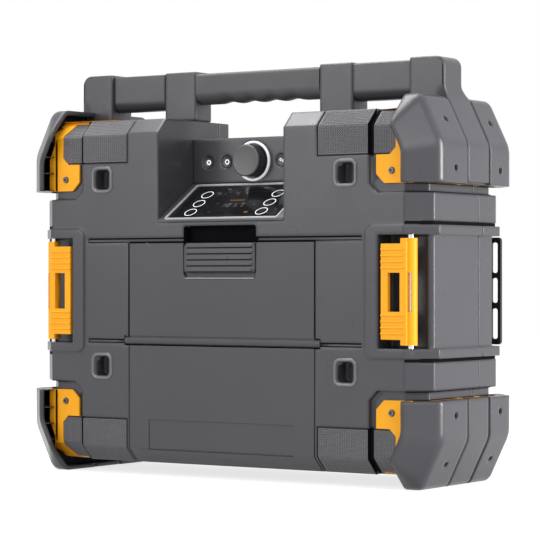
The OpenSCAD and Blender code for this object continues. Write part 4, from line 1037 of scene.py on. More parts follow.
@dataclass
class Bumper:
    """One corner bumper: front, middle and rear shells with slits between them."""

    shop: Workshop
    side: Side
    level: Level
    outer_x: float = 220.0
    crown_x: float = 199.5
    inner_x: float = 184.0
    top: float = 168.25
    bend: float = 126.25
    low: float = 92.15
    lip_y: float = 85.5
    chamfer: float = 24.7
    # How far the closed form goes on past the open underside, inner side and ends.
    past: Point = (14.0, 16.0, 16.0)
    wall: float = 4.2
    rounding: float = 4.6
    round_steps: int = 5
    slits: Pair = (-15.8, 22.5)
    slit_w: float = 2.4
    slit_depth: float = 3.0
    slit_play: float = 0.05
    floor_wall: float = 1.1
    seat_past: float = 1.2
    rim: float = 1.2
    rim_angle: float = 50.0
    well_r: float = 2.9
    well_cell: float = 5.0
    well_ys: Pair = (-36.5, 42.2)
    well_rise: float = 13.1

    def form(self, inset: float = 0.0) -> bmesh.types.BMesh:
        """Makes the whole bumper's convex form, larger than the bumper at its open sides.

        Args:
            inset: how far its outer faces are set in.

        Returns:
            The closed form in the upper right corner.
        """
        slant = Vector((self.top - self.bend, 0, self.outer_x - self.crown_x)).normalized()
        reach = slant.dot(Vector((self.outer_x, 0, self.bend)))
        straight = self.lip_y - self.chamfer
        half = DIAGONAL
        under, inwards, endwards = self.past
        planes = [
            ((0, 0, 1), self.top), (slant, reach), ((1, 0, 0), self.outer_x),
            ((0, 0, -1), under - self.low), ((-1, 0, 0), inwards - self.inner_x),
        ]
        for way in (-1, 1):
            planes += [
                ((0, way * half, half), half * (straight + self.top)),
                ((slant + Vector((0, way, 0))) * half, half * (straight + reach)),
                ((half, way * half, 0), half * (straight + self.outer_x)),
                ((0, way, 0), self.lip_y + endwards),
            ]
        return convex_form([(normal, distance - inset) for normal, distance in planes])

    def skin(self, start: float, end: float, inset: float = 0.0) -> bmesh.types.BMesh:
        """Makes the open outer skin between two depths.

        Args:
            start: Y of its front edge.
            end: Y of its rear edge.
            inset: how far it lies below the bumper's surface.

        Returns:
            The open skin in the upper right corner.
        """
        mesh = self.form(inset)
        soften(mesh, self.rounding, self.round_steps, low=10)
        cut(mesh, (self.inner_x, 0, 0), (-1, 0, 0), clear=True)
        cut(mesh, (0, 0, self.low), (0, 0, -1), clear=True)
        if not inset:
            for well in self.wells:
                if start < well.y < end:
                    round_hole(mesh, well, self.well_r, self.well_cell)
        cut(mesh, (0, start, 0), (0, -1, 0), clear=True)
        cut(mesh, (0, end, 0), (0, 1, 0), clear=True)
        return mesh

    def shell(self, mesh: bmesh.types.BMesh, part: str, wall: float, rim: float = 0.0) -> None:
        """Gives a skin its wall and places it.

        Args:
            mesh: the open skin.
            part: what the piece is called.
            wall: thickness of the wall, inwards.
            rim: rounding of its rims.
        """
        name = f"bumper_{corner_name(self.side, self.level)}"
        to_corner(mesh, self.side, self.level)
        piece = self.shop.place(mesh, f"{name}_{part}", Skin.BUMPER, RADIO, slot=Skin.DARK,
                                weighted=False)
        solid = piece.modifiers.new("wall", "SOLIDIFY")
        solid.thickness, solid.offset, solid.use_even_offset = wall * MM, -1.0, True
        if rim:
            rims = piece.modifiers.new("rims", "BEVEL")
            rims.width, rims.segments, rims.limit_method = rim * MM, 3, "ANGLE"
            rims.angle_limit, rims.miter_outer = math.radians(self.rim_angle), "MITER_ARC"
        self.shop.even_normals(piece)
        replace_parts(piece, name)

    @property
    def wells(self) -> list[Vector]:
        """Middles of the screw wells on the skin, in the upper right corner.

        Returns:
            A point on the slant and one on the upright face for each well along Y.
        """
        slant = ((self.outer_x + self.crown_x) / 2, (self.top + self.bend) / 2)
        upright = (self.outer_x, self.low + self.well_rise)
        return [Vector((x, y, z)) for y in self.well_ys for x, z in (upright, slant)]

    def build(self) -> None:
        """Builds the shells and the floor of the slits."""
        half, play = self.slit_w / 2, self.slit_play
        front, rear = self.slits
        self.shell(self.skin(-self.lip_y, front - half), "front", self.wall, self.rim)
        self.shell(self.skin(rear + half, self.lip_y), "rear", self.wall, self.rim)
        if self.level is Level.LOWER:
            self.shell(self.skin(front + half, rear - half), "middle", self.wall, self.rim)
            for number, y in enumerate(self.slits):
                floor = self.skin(y - half + play, y + half - play, self.slit_depth)
                self.shell(floor, f"slit_{number}", self.floor_wall)
        else:
            floor = self.skin(front - half + play, rear + half - play, self.slit_depth)
            cut(floor, (self.crown_x - self.seat_past, 0, 0), (-1, 0, 0), clear=True)
            self.shell(floor, "seat", self.floor_wall)


@dataclass
class Bracket:
    """One yellow corner bracket with the ribs that brace it against the bumper."""

    shop: Workshop
    side: Side
    level: Level
    edge: float = 0.4
    # The arm along the grille's top: where it starts, and how it is lifted or sunk.
    arm_start: Pair = (184.0, 152.0)
    arm_middle: float = 157.0
    arm_top: float = 157.2
    arm_front: float = -50.0
    arm_sunk: float = 154.4
    hidden: float = 155.4
    flange: Outline = ((186, 92.0), (196, 92.0), (196, 121.5), (187.2, 141.4), (186, 141.4))
    flange_y: float = -70.0
    flange_thick: float = 2.5
    # Height and plans of the black end caps, which paint the shade at the bumper's open edge.
    cap_rise: Pair = (91.4, 91.95)
    caps: tuple[Outline, ...] = (
        ((190.2, -70.4), (206.3, -54.3), (206.3, -11), (203.05, -11), (203.05, -53.0), (188.9, -67.2)),
        ((203.05, 1), (206.3, 1), (206.3, 20), (203.05, 20)),
        ((203.05, 31), (206.3, 31), (206.3, 58), (203.05, 58)),
    )
    rib: float = 0.7
    rib_zs: tuple[float, ...] = (92.25, 108.5, 123.5, 138.5, 151.0)
    rib_inner: Outline = ((190.0, 70.2), (205.9, 53.6))
    rib_outer: Outline = ((215.2, 59.2), (193.2, 81.2), (190.0, 78.4))
    rib_bend: float = 124.5
    rib_lean: float = 0.5
    rib_reach: float = 143.6

    def ribs(self) -> bmesh.types.BMesh:
        """Makes the thin ribs between bracket and bumper.

        Returns:
            The ribs in the upper right corner.
        """
        parts = []
        (foot_x, foot_y), (inner_x, inner_y) = self.rib_inner
        (side_x, side_y), (end_x, end_y), (tip_x, tip_y) = self.rib_outer
        for height in self.rib_zs:
            lean = max(0.0, height - self.rib_bend) * self.rib_lean
            reach = min(0.0, self.rib_reach - height)
            inner = [(foot_x, foot_y), (inner_x - lean, inner_y)]
            outer = [(side_x - lean, side_y), (end_x - lean / 2, end_y + reach), (tip_x, tip_y + reach)]
            rear = inner + [(x, -y) for x, y in reversed(inner)]
            front = [(x, -y) for x, y in reversed(outer)] + outer
            parts.append(plate(rear + front, height, height + self.rib))
        return join_meshes(parts)

    def settle_arm(self, vert: bmesh.types.BMVert) -> None:
        """Lays the arm flat under the body's edge, and sinks it where the grille hides it.

        Args:
            vert: a point of the bracket.
        """
        x, y, z = vert.co / MM
        height = (z - MIDDLE_Z) * self.level.value
        if self.level is Level.LOWER and height > self.hidden:
            vert.co.z = (MIDDLE_Z - self.hidden) * MM
        elif height > self.arm_middle:
            vert.co.z = (MIDDLE_Z + self.arm_top) * MM
        start_x, start_z = self.arm_start
        sunk = self.side is Side.RIGHT and self.level is Level.UPPER
        if sunk and height > start_z and x < start_x and y < 0:
            vert.co.y = max(y, self.arm_front) * MM
            vert.co.z = min(vert.co.z, (MIDDLE_Z + self.arm_sunk) * MM)

    def build(self) -> None:
        """Rounds the bracket and adds its flange, ribs and black end caps that paint the shade at the
        bumper's open edge.
        """
        node = f"bracket_{corner_name(self.side, self.level)}"
        mesh = self.shop.copy_node(node)
        Rounding(self.edge).apply(mesh)
        for vert in mesh.verts:
            self.settle_arm(vert)
        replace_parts(self.shop.place(mesh, f"{node}_plate", Skin.YELLOW, RADIO), node)
        flange = prism([(x, self.flange_y, z) for x, z in self.flange], (0, self.flange_thick, 0))
        soften(flange, self.edge)
        caps = join_meshes([plate(plan, *self.cap_rise) for plan in self.caps])
        ribs = self.ribs()
        for part in (flange, ribs, caps):
            to_corner(part, self.side, self.level)
        self.shop.place(flange, f"{node}_flange", Skin.YELLOW, RADIO)
        self.shop.place(ribs, f"{node}_ribs", Skin.DARK, RADIO)
        self.shop.place_shadow(caps, f"{node}_caps")


@dataclass
class Corners:
    """Bumpers, brackets and their screws."""

    shop: Workshop

    def build(self) -> None:
        """Builds the four corners."""
        for level in Level:
            for side in Side:
                Bumper(self.shop, side, level).build()
                Bracket(self.shop, side, level).build()
        self.shop.keep_nodes(Skin.BLACK_STEEL, "bumper_screws", "bracket_screws")


@dataclass
class HandleEnd:
    """End post of the handle, which flares into the bumper's middle band."""

    shop: Workshop
    side: Side
    # X, height over the body's middle and rounding of the corners of the front view.
    corners: tuple[Point, ...] = (
        (163.0, 156.6, 0.0), (194.9, 156.6, 0.0), (194.9, 165.55, 0.0), (197.81, 165.55, 0.0),
        (217.3, 125.62, 0.0), (217.3, 93.9, 0.0), (220.0, 93.9, 0.0), (220.0, 126.25, 3.0),
        (197.6, 172.14, 7.0), (197.6, 203.3, 9.0), (163.0, 203.3, 1.5),
    )
    arc_steps: int = 6
    level_cuts: tuple[float, ...] = (164.0, 167.0, 170.0, 173.0, 176.0, 179.0, 182.0, 185.0, 188.0)
    upright_cuts: tuple[float, ...] = (188.0, 191.0, 194.0, 196.5)
    post_y: Pair = (-17.8, 13.2)
    band_y: Pair = (-15.5, 22.2)
    flare_z: Pair = (178.5, 165.5)
    flare_x: Pair = (187.0, 196.5)
    edge: float = 1.3
    # Lowest and highest corner of the black strip that paints the shade in the seam on the post's front.
    seam: tuple[Point, Point] = ((195.7, -17.86, 178.5), (196.4, -17.3, 196.3))

    def outline(self) -> bmesh.types.BMesh:
        """Makes the flat front view of post and band, cut where the flare bends it.

        Returns:
            The flat view in the upper right corner.
        """
        mesh = face_from([(x, 0, z) for x, z, _ in self.corners])
        for radius in {radius for _, _, radius in self.corners if radius}:
            places = [Vector((x, 0, z)) * MM for x, z, rounding in self.corners if rounding == radius]
            picked = [
                vert for vert in mesh.verts
                if any((vert.co - place).length < 10 * TOUCH for place in places)
            ]
            round_corners(mesh, picked, radius, self.arc_steps)
        for z in self.level_cuts:
            cut(mesh, (0, 0, z), (0, 0, 1))
        for x in self.upright_cuts:
            cut(mesh, (x, 0, 0), (1, 0, 0))
        return mesh

    def widen(self, vert: bmesh.types.BMVert, rear: bool) -> None:
        """Sets a point's depth, which grows from the post to the band.

        Args:
            vert: a point of the post.
            rear: whether it lies on the rear face.
        """
        x, _, z = vert.co / MM
        share = ease(z, *self.flare_z) * ease(x, *self.flare_x)
        vert.co.y = (self.post_y[rear] * (1 - share) + self.band_y[rear] * share) * MM

    def build(self) -> None:
        """Builds the end post and the black seam line of painted shade on its front."""
        name = f"handle_end_{self.side.name.lower()}"
        mesh = self.outline()
        rear = draw_out(mesh, (0, 0, 0))
        for vert in mesh.verts:
            self.widen(vert, vert in rear)
        bmesh.ops.recalc_face_normals(mesh, faces=mesh.faces)
        soften(mesh, self.edge, 3, low=60)
        to_corner(mesh, self.side)
        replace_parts(self.shop.place(mesh, f"{name}_post", Skin.DARK, RADIO, smooth=40), name)
        self.shop.place_shadow(to_corner(slab(*self.seam), self.side), f"{name}_seam")


@dataclass
class Handle:
    """End posts, bars, inner posts, grip and rod."""

    shop: Workshop
    depth: Pair = (-14.6, 11.4)
    bar_x: Pair = (103.3, 162.7)
    bar_z: Pair = (336.55, 369.55)
    bar_edges: Pair = (9.0, 2.0)
    post_x: Pair = (68.0, 103.0)
    post_z: Pair = (324.8, 370.55)
    post_edge: float = 1.6
    grip_x: Pair = (-67.7, 67.7)
    grip_z: Pair = (340.35, 368.35)
    grip_edges: Pair = (11.0, 3.5)
    hollows: int = 4
    hollow_pitch: float = 23.8
    hollow_depth: float = 1.7
    hollow_fade: float = 15.0
    hollow_cuts: int = 14
    arc_steps: int = 8

    def bar(self, xs: Pair, zs: Pair, edges: Pair) -> bmesh.types.BMesh:
        """Makes a bar along X.

        Args:
            xs: its two ends.
            zs: its lowest and highest point.
            edges: rounding of its lower and of its upper edges.

        Returns:
            The closed bar.
        """
        (x0, x1), (y0, y1), (z0, z1) = xs, self.depth, zs
        mesh = face_from([(x0, y0, z0), (x0, y1, z0), (x0, y1, z1), (x0, y0, z1)])
        for radius, z in zip(edges, zs):
            corners = [vert for vert in mesh.verts if abs(vert.co.z - z * MM) < 100 * TOUCH]
            round_corners(mesh, corners, radius, self.arc_steps)
        draw_out(mesh, (x1 - x0, 0, 0))
        bmesh.ops.recalc_face_normals(mesh, faces=mesh.faces)
        return mesh

    def grip(self) -> bmesh.types.BMesh:
        """Makes the grip with the finger hollows along its underside.

        Returns:
            The closed grip.
        """
        mesh = self.bar(self.grip_x, self.grip_z, self.grip_edges)
        half = self.hollows // 2
        for count in range(-half * self.hollow_cuts, half * self.hollow_cuts + 1):
            cut(mesh, (count * self.hollow_pitch / self.hollow_cuts, 0, 0), (1, 0, 0))
        top = self.grip_z[0] + self.hollow_fade
        for vert in mesh.verts:
            x, _, z = vert.co / MM
            if abs(x) < half * self.hollow_pitch:
                share = min(1.0, max(0.0, (top - z) / self.hollow_fade))
                wave = math.sin(math.pi * x / self.hollow_pitch) ** 2
                vert.co.z += self.hollow_depth * wave * share * MM
        return mesh

    def pair(self, node: str, xs: Pair, make: Callable[[Pair], bmesh.types.BMesh]) -> None:
        """Places a piece on the left and one on the right.

        Args:
            node: the solid that the two stand for.
            xs: ends of the right one.
            make: makes a piece between two ends.
        """
        for side in Side:
            left, right = sorted(side.value * x for x in xs)
            piece = self.shop.place(make((left, right)), f"{node}_{side.name.lower()}", Skin.DARK,
                                    RADIO, smooth=40)
            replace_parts(piece, node)

    def inner_post(self, xs: Pair) -> bmesh.types.BMesh:
        """Makes one of the two posts that the grip sits between.

        Args:
            xs: its two sides.

        Returns:
            The closed post.
        """
        (x0, x1), (y0, y1), (z0, z1) = xs, self.depth, self.post_z
        mesh = slab((x0, y0, z0), (x1, y1, z1))
        soften(mesh, self.post_edge, 3)
        return mesh

    def build(self) -> None:
        """Builds the whole handle."""
        for side in Side:
            HandleEnd(self.shop, side).build()
        self.pair("handle_bars", self.bar_x, lambda xs: self.bar(xs, self.bar_z, self.bar_edges))
        self.pair("handle_inner_posts", self.post_x, self.inner_post)
        grip = self.shop.place(self.grip(), "grip_moulding", Skin.GRIP, RADIO, smooth=45)
        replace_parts(grip, "grip")
        self.shop.keep_nodes(Skin.STEEL, "handle_rod")


@dataclass
class FrontDoor:
    """Door, its latch and what lies behind it."""

    shop: Workshop
    # Lowest and highest corner of each black line of painted shade right of the middle, and of the
    # pocket's black liner of painted shade.
    seams: tuple[tuple[Point, Point], ...] = (
        ((100.07, -72.5, 127.3), (100.63, -69.6, 211.1)),
        ((100.75, -73.06, 127.6), (101.5, -72.9, 211.6)),
        ((100.07, -72.5, 26.0), (100.63, -69.6, 118.2)),
        ((39.6, -71.5, 211.3), (100.6, -69.2, 211.9)),
        ((39.7, -71.3, 211.9), (147.6, -70.9, 212.8)),
        ((39.7, -71.3, 214.8), (147.6, -70.9, 216.1)),
        ((106.4, -71.3, 122.9), (147.6, -70.9, 124.0)),
        ((106.4, -71.3, 120.4), (147.6, -70.9, 121.2)),
        ((38.65, -72.4, 184.6), (39.35, -70.2, 211.1)),
        ((39.05, -72.5, 212.2), (39.45, -63.0, 226.4)),
    )
    pocket_shade: tuple[tuple[Point, Point], ...] = (
        ((-39.4, -72.5, 226.1), (39.4, -63.0, 226.5)),
        ((-39.4, -63.4, 212.2), (39.4, -63.0, 226.4)),
    )
    edge: Rounding = Rounding(0.6)
    latch_edge: Rounding = Rounding(0.5)
    bay_edge: Rounding = Rounding(0.4)
    seat_edge: Rounding = Rounding(
        1.3, 3, shortest=0.5, where=lambda at: abs(at.x) < 41 and 179 < at.z < 184 and at.y < -72.9,
    )
    # Light strip that paints the highlight on the lower edge of the latch's pocket.
    lip: tuple[Point, Point] = ((-37.0, -73.35, 179.15), (37.0, -72.8, 180.05))
    lip_edge: float = 0.25
    # Lowest and highest corner of the lowest black line of painted shade under the latch's ridges.
    groove: tuple[Point, Point] = ((-35.4, -73.62, 184.65), (35.4, -73.2, 185.75))
    groove_pitch: float = 5.375
    grooves: int = 5

    def seam_lines(self) -> bmesh.types.BMesh:
        """Makes the black lines of painted shade round the door, on both sides, and the pocket's liner
        of painted shade.

        Returns:
            The lines as one mesh.
        """
        lines = []
        for (x0, y0, z0), (x1, y1, z1) in self.seams:
            lines += [slab((x0, y0, z0), (x1, y1, z1)), slab((-x1, y0, z0), (-x0, y1, z1))]
        return join_meshes(lines + [slab(low, high) for low, high in self.pocket_shade])

    def latch_grooves(self) -> bmesh.types.BMesh:
        """Makes the black lines of painted shade in the latch's grooves.

        Returns:
            The lines as one mesh.
        """
        (x0, y0, z0), (x1, y1, z1) = self.groove
        rises = [count * self.groove_pitch for count in range(self.grooves)]
        return join_meshes([slab((x0, y0, z0 + rise), (x1, y1, z1 + rise)) for rise in rises])

    def build(self) -> None:
        """Rounds the door and its latch, lays black lines of painted shade in the gaps, adds a light
        strip of painted highlight under the latch and dresses the bay.
        """
        self.shop.round_node("door", Skin.PANEL, self.seat_edge, self.edge, slot=Skin.DARK)
        self.shop.round_node("door_latch", Skin.DARK, self.latch_edge)
        self.shop.place_shadow(self.seam_lines(), "door_seams")
        # A light strip that paints the highlight under the latch, and black lines that paint the shade
        # in its grooves.
        lip = slab(*self.lip)
        soften(lip, self.lip_edge)
        door, latch = self.shop.body_of("door"), self.shop.body_of("door_latch")
        self.shop.place(lip, "door_latch_lip", Skin.TRIM, door, slot=Skin.DARK)
        self.shop.place_shadow(self.latch_grooves(), "latch_grooves", latch, Skin.DARK)
        self.shop.keep_nodes(Skin.STEEL, "door_hinge_pins")
        self.shop.keep_nodes(Skin.SEAL, "door_seal")
        for node in ("device_bay", "battery_dock", "port_panel"):
            self.shop.round_node(node, Skin.BLACK, self.bay_edge)


@dataclass
class Latches:
    """Side latches, their pins, the rear catches and the mains inlet."""

    shop: Workshop
    edge: float = 0.4

    def build(self) -> None:
        """Rounds the latches, catches and inlet."""
        for side in Side:
            node = f"side_latch_{side.name.lower()}"
            self.shop.round_node(node, Skin.YELLOW, Rounding(self.edge, shortest=2))
        self.shop.keep_nodes(Skin.STEEL, "latch_pins")
        self.shop.round_node("rear_catches", Skin.BLACK, Rounding(self.edge, shortest=0.5))
        self.shop.round_node("ac_inlet", Skin.BLACK, Rounding(self.edge))


@dataclass
class Knob:
    """Volume knob: a light dished cap on a black knurled skirt, in its lit ring."""

    shop: Workshop
    place: Matrix
    cap: Outline = (
        (0, 31.7), (7.0, 31.8), (12.0, 32.15), (13.0, 32.5), (13.9, 32.35), (14.55, 31.5), (14.6, 30.7),
        (14.2, 30.4), (0, 30.4),
    )
    skirt: Outline = ((0, 30.45), (14.3, 30.45), (14.3, 21.4), (13.8, 20.9), (0, 20.9))
    skirt_r: float = 14.3
    core_r: float = 13.0
    ring: Outline = (
        (16.1, 17.9), (16.1, 20.2), (16.5, 20.6), (17.8, 20.6), (18.2, 20.2), (18.2, 17.9), (16.1, 17.9),
    )
    round_steps: int = 96
    ridges: int = 60
    ridge_depth: float = 0.35

    def knurled_skirt(self) -> bmesh.types.BMesh:
        """Makes the skirt, with every second point of its edge set in.

        Returns:
            The closed skirt in its place.
        """
        mesh = lathe(self.skirt, Matrix(), 2 * self.ridges)
        for vert in mesh.verts:
            turn = round(math.atan2(vert.co.y, vert.co.x) * self.ridges / math.pi)
            if math.hypot(*vert.co.xy) > self.core_r * MM and turn % 2:
                vert.co.xy *= 1 - self.ridge_depth / self.skirt_r
        bmesh.ops.transform(mesh, matrix=self.place, verts=mesh.verts)
        return mesh

    def build(self) -> None:
        """Builds cap, skirt and ring."""
        body = self.shop.body_of("volume_knob")
        cap, ring = (lathe(profile, self.place, self.round_steps) for profile in (self.cap, self.ring))
        cap = self.shop.place(cap, "knob_cap", Skin.KNOB, body, smooth=50)
        skirt = self.shop.place(self.knurled_skirt(), "knob_skirt", Skin.BLACK, body,
                                slot=Skin.KNOB, smooth=20)
        for piece in (cap, skirt):
            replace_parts(piece, "volume_knob")
        ring = self.shop.place(ring, "lit_ring", Skin.LIT_RING, RADIO, smooth=50)
        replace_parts(ring, "light_ring")


class Sign(Enum):
    """The fascia's round buttons, each with its own printed sign."""

    POWER = "power"
    SOURCE = "source"
    SOUND = "sound"
    MENU = "menu"


# Outer and inner radius, corners, X and Y of the rings that make up a sign.
SIGN_RINGS: dict[Sign, tuple[tuple[float, float, int, float, float], ...]] = {
    Sign.POWER: ((2.4, 1.1, 48, 0.0, 0.0),),
    Sign.SOURCE: ((2.6, 1.6, 6, 0.0, 0.0),),
    Sign.SOUND: ((1.6, 0.8, 4, -1.3, 0.6), (1.4, 0.6, 4, 1.4, -0.5)),
}


@dataclass
class RoundButton:
    """One dished button of the fascia with its printed sign."""

    shop: Workshop
    sign: Sign
    place: Matrix
    cap: Outline = (
        (0, 17.6), (2.4, 17.65), (4.0, 17.95), (4.8, 18.45), (5.1, 18.4), (5.2, 18.0), (5.2, 15.7),
        (0, 15.7),
    )
    print_low: float = 17.55
    print_thick: float = 0.3
    round_steps: int = 48
    line_half: Pair = (2.2, 0.3)
    line_ys: tuple[float, ...] = (-1.4, 0.0, 1.4)

    def print(self) -> bmesh.types.BMesh:
        """Makes the sign that is printed on the button.

        Returns:
            The rings or, on the menu button, the three lines of the sign.
        """
        at = self.place @ Matrix.Translation((0, 0, self.print_low * MM))
        thick = self.print_thick
        if self.sign is Sign.MENU:
            wide, high = self.line_half
            return join_meshes([
                slab((-wide, y - high, 0), (wide, y + high, thick), at) for y in self.line_ys
            ])
        return join_meshes([
            ring_plate(outer, inner, thick, at @ Matrix.Translation(Vector((x, y, 0)) * MM), corners)
            for outer, inner, corners, x, y in SIGN_RINGS[self.sign]
        ])

    def build(self) -> None:
        """Builds the cap and its sign."""
        node = f"button_{self.sign.value}"
        body = self.shop.body_of(node)
        cap = lathe(self.cap, self.place, self.round_steps)
        piece = self.shop.place(cap, f"{node}_cap", Skin.BUTTON, body, slot=Skin.KNOB, smooth=50)
        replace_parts(piece, node)
        self.shop.place(self.print(), f"{node}_sign", Skin.WHITE_PRINT, body, slot=Skin.KNOB)


# Left, lower, right and upper edge of a digit's seven segments, and those that each digit lights.
SEGMENTS = (
    (0.0, 5.3, 3.4, 6.0), (2.7, 3.0, 3.4, 6.0), (2.7, 0.0, 3.4, 3.0), (0.0, 0.0, 3.4, 0.7),
    (0.0, 0.0, 0.7, 3.0), (0.0, 3.0, 0.7, 6.0), (0.0, 2.65, 3.4, 3.35),
)
LIT = {"0": (0, 1, 2, 3, 4, 5), "1": (1, 2), "7": (0, 1, 2)}


@dataclass
class Display:
    """Sloped display: trim, prints under the glass and rings on the keys."""

    shop: Workshop
    origin: Point = (0.0, FRONT_Y, 232.45)
    slope: float = 31.89
    corners: tuple[Pair, Pair] = ((-61.8, -0.3), (61.8, 62.1))
    corner_r: float = 3.0
    bead: tuple[Pair, ...] = (
        (0.2, 0.6), (0.45, 0.45), (0.6, 0.15), (0.55, -0.15), (0.45, -0.45), (0.25, -0.7),
    )
    bead_sunk: float = 0.05
    under: Pair = (-1.29, -1.21)
    key_rows: tuple[int, ...] = (1, 2, 3)
    key_ring: Point = (5.9, 5.35, 0.2)
    key_ring_rise: float = 0.15
    digits: str = "1017"
    # Left and lower edge of each digit, the lean of the digits, and the point between them.
    digits_at: tuple[Pair, ...] = ((-13.8, 23.2), (-7.8, 23.2), (-1.8, 23.2), (6.2, 23.2))
    lean: float = 0.12
    point: Point = (3.4, 23.2, 0.8, 0.8)
    # Left edge, lower edge, width and height of the small signs.
    white: tuple[Point, ...] = (
        (-23.2, 54.0, 1.5, 1.8), (-21.0, 53.9, 1.9, 1.0), (-2.4, 53.8, 2.4, 1.7), (16.2, 55.2, 5.1, 1.2),
    )
    grey: tuple[Point, ...] = (
        (-30.5, 47.0, 2.8, 0.9), (-22.8, 46.0, 2.8, 0.9), (-21.2, 29.3, 2.8, 1.0),
        (-21.9, 13.6, 2.8, 0.9), (20.0, 26.0, 2.8, 1.2), (48.6, 17.0, 2.6, 1.0), (43.6, 35.2, 2.6, 1.0),
    )
    orange: tuple[Point, ...] = tuple((-8.5 + 2.6 * count, 33.9, 1.9, 1.5) for count in range(6))
    # X, place up the slope, radius and stretch of the orange dots.
    dots: tuple[Point, ...] = ((1.5, 47.5, 0.9, 1.0), (19.9, 13.4, 1.5, 1.5))
    dot_steps: int = 24

    @property
    def place(self) -> Matrix:
        """Place of the display: X across, Y up the slope, Z out of the glass."""
        turn = Matrix.Rotation(math.radians(self.slope), 4, "X")
        return Matrix.Translation(Vector(self.origin) * MM) @ turn

    def patch(self, x: float, s: float, width: float, height: float, lean: float = 0.0
              ) -> bmesh.types.BMesh:
        """Makes one printed patch under the glass.

        Args:
            x: its left edge.
            s: its lower edge, up the slope.
            width: its width.
            height: its height.
            lean: how far its top leans to the right.

        Returns:
            The closed patch.
        """
        right, top = x + width, s + height
        mesh = plate([(x, s), (right, s), (right + lean, top), (x + lean, top)], *self.under)
        bmesh.ops.transform(mesh, matrix=self.place, verts=mesh.verts)
        return mesh

    def number(self) -> bmesh.types.BMesh:
        """Makes the station's digits from seven segments each.

        Returns:
            The digits and the point between them.
        """
        parts = []
        for digit, (left, low) in zip(self.digits, self.digits_at):
            for index in LIT[digit]:
                x0, s0, x1, s1 = SEGMENTS[index]
                x, rise = left + x0 + self.lean * s0, s1 - s0
                parts.append(self.patch(x, low + s0, x1 - x0, rise, self.lean * rise))
        return join_meshes(parts + [self.patch(*self.point)])

    def orange_dots(self) -> bmesh.types.BMesh:
        """Makes the two orange dots under the glass.

        Returns:
            The dots as one mesh.
        """
        low, high = self.under
        parts = []
        for x, s, radius, wide in self.dots:
            at = self.place @ Matrix.Translation(Vector((x, s, low)) * MM)
            profile = [(0, 0), (radius, 0), (radius, high - low), (0, high - low)]
            parts.append(lathe(profile, at @ Matrix.Diagonal((wide, 1, 1, 1)), self.dot_steps))
        return join_meshes(parts)

    def prints(self) -> None:
        """Adds the printed signs under the glass."""
        signs = (("white", Skin.WHITE_PRINT, self.white), ("grey", Skin.GREY_PRINT, self.grey),
                 ("orange", Skin.ORANGE_PRINT, self.orange))
        meshes = [
            (f"{name}_signs", skin, join_meshes([self.patch(*row) for row in rows]))
            for name, skin, rows in signs
        ]
        meshes += [("number", Skin.WHITE_PRINT, self.number()),
                   ("orange_dots", Skin.ORANGE_PRINT, self.orange_dots())]
        for name, skin, mesh in meshes:
            self.shop.place(mesh, f"display_{name}", skin, RADIO, slot=Skin.GLASS)

    def ring_key(self, node: str) -> None:
        """Adds the printed ring on a key.

        Args:
            node: the key's solid.
        """
        low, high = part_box(node)
        at = self.place.inverted() @ ((low + high) / 2)
        place = self.place @ Matrix.Translation(Vector((at.x, at.y, self.key_ring_rise * MM)))
        self.shop.place(ring_plate(*self.key_ring, place), f"{node}_ring", Skin.WHITE_PRINT,
                        self.shop.body_of(node), slot=Skin.KEY)

    def build(self) -> None:
        """Builds the trim, the prints and the keys' rings."""
        mesh = rounded_bead(*self.corners, self.corner_r, self.bead)
        sink = Matrix.Translation((0, 0, -self.bead_sunk * MM))
        bmesh.ops.transform(mesh, matrix=self.place @ sink, verts=mesh.verts)
        # The trim's light grey paints the highlight on its bead.
        self.shop.place(mesh, "display_trim", Skin.TRIM, RADIO, slot=Skin.BEZEL, smooth=60,
                        weighted=False)
        self.prints()
        for side in Side:
            for row in self.key_rows:
                node = f"key_{side.name.lower()}_{row}"
                self.ring_key(node)
                self.shop.keep_nodes(Skin.KEY, node)


@dataclass
class Controls:
    """Fascia with its knob, ring and buttons, and the sloped display."""

    shop: Workshop
    height: float = 285.8
    buttons: tuple[tuple[Sign, float], ...] = (
        (Sign.POWER, -50.5), (Sign.SOURCE, -30.0), (Sign.SOUND, 30.0), (Sign.MENU, 50.5),
    )
    brow: Rounding = Rounding(1.8, 4, where=lambda at: at.z > 307 and at.y < -18)
    cheeks: Rounding = Rounding(0.9, 3, where=lambda at: abs(at.x) > 60 and at.y < -18.5)
    edge: Rounding = Rounding(0.4)
    bezel_edge: Rounding = Rounding(0.3)

    def build(self) -> None:
        """Builds the controls on the fascia and the display."""
        self.shop.round_node("control_fascia", Skin.DARK, self.brow, self.cheeks, self.edge)
        self.shop.round_node("display_bezel", Skin.BEZEL, self.bezel_edge)
        self.shop.keep_nodes(Skin.GLASS, "display_glass")
        self.shop.keep_nodes(Skin.SCREEN, "lcd_module")
        self.shop.keep_nodes(Skin.BOARD, "display_board", "control_board")
        self.shop.keep_nodes(Skin.STEEL, "encoder")
        place = Matrix.Translation((0, 0, self.height * MM)) @ TO_FRONT
        Knob(self.shop, place).build()
        for sign, x in self.buttons:
            RoundButton(self.shop, sign, Matrix.Translation((x * MM, 0, 0)) @ place).build()
        Display(self.shop).build()


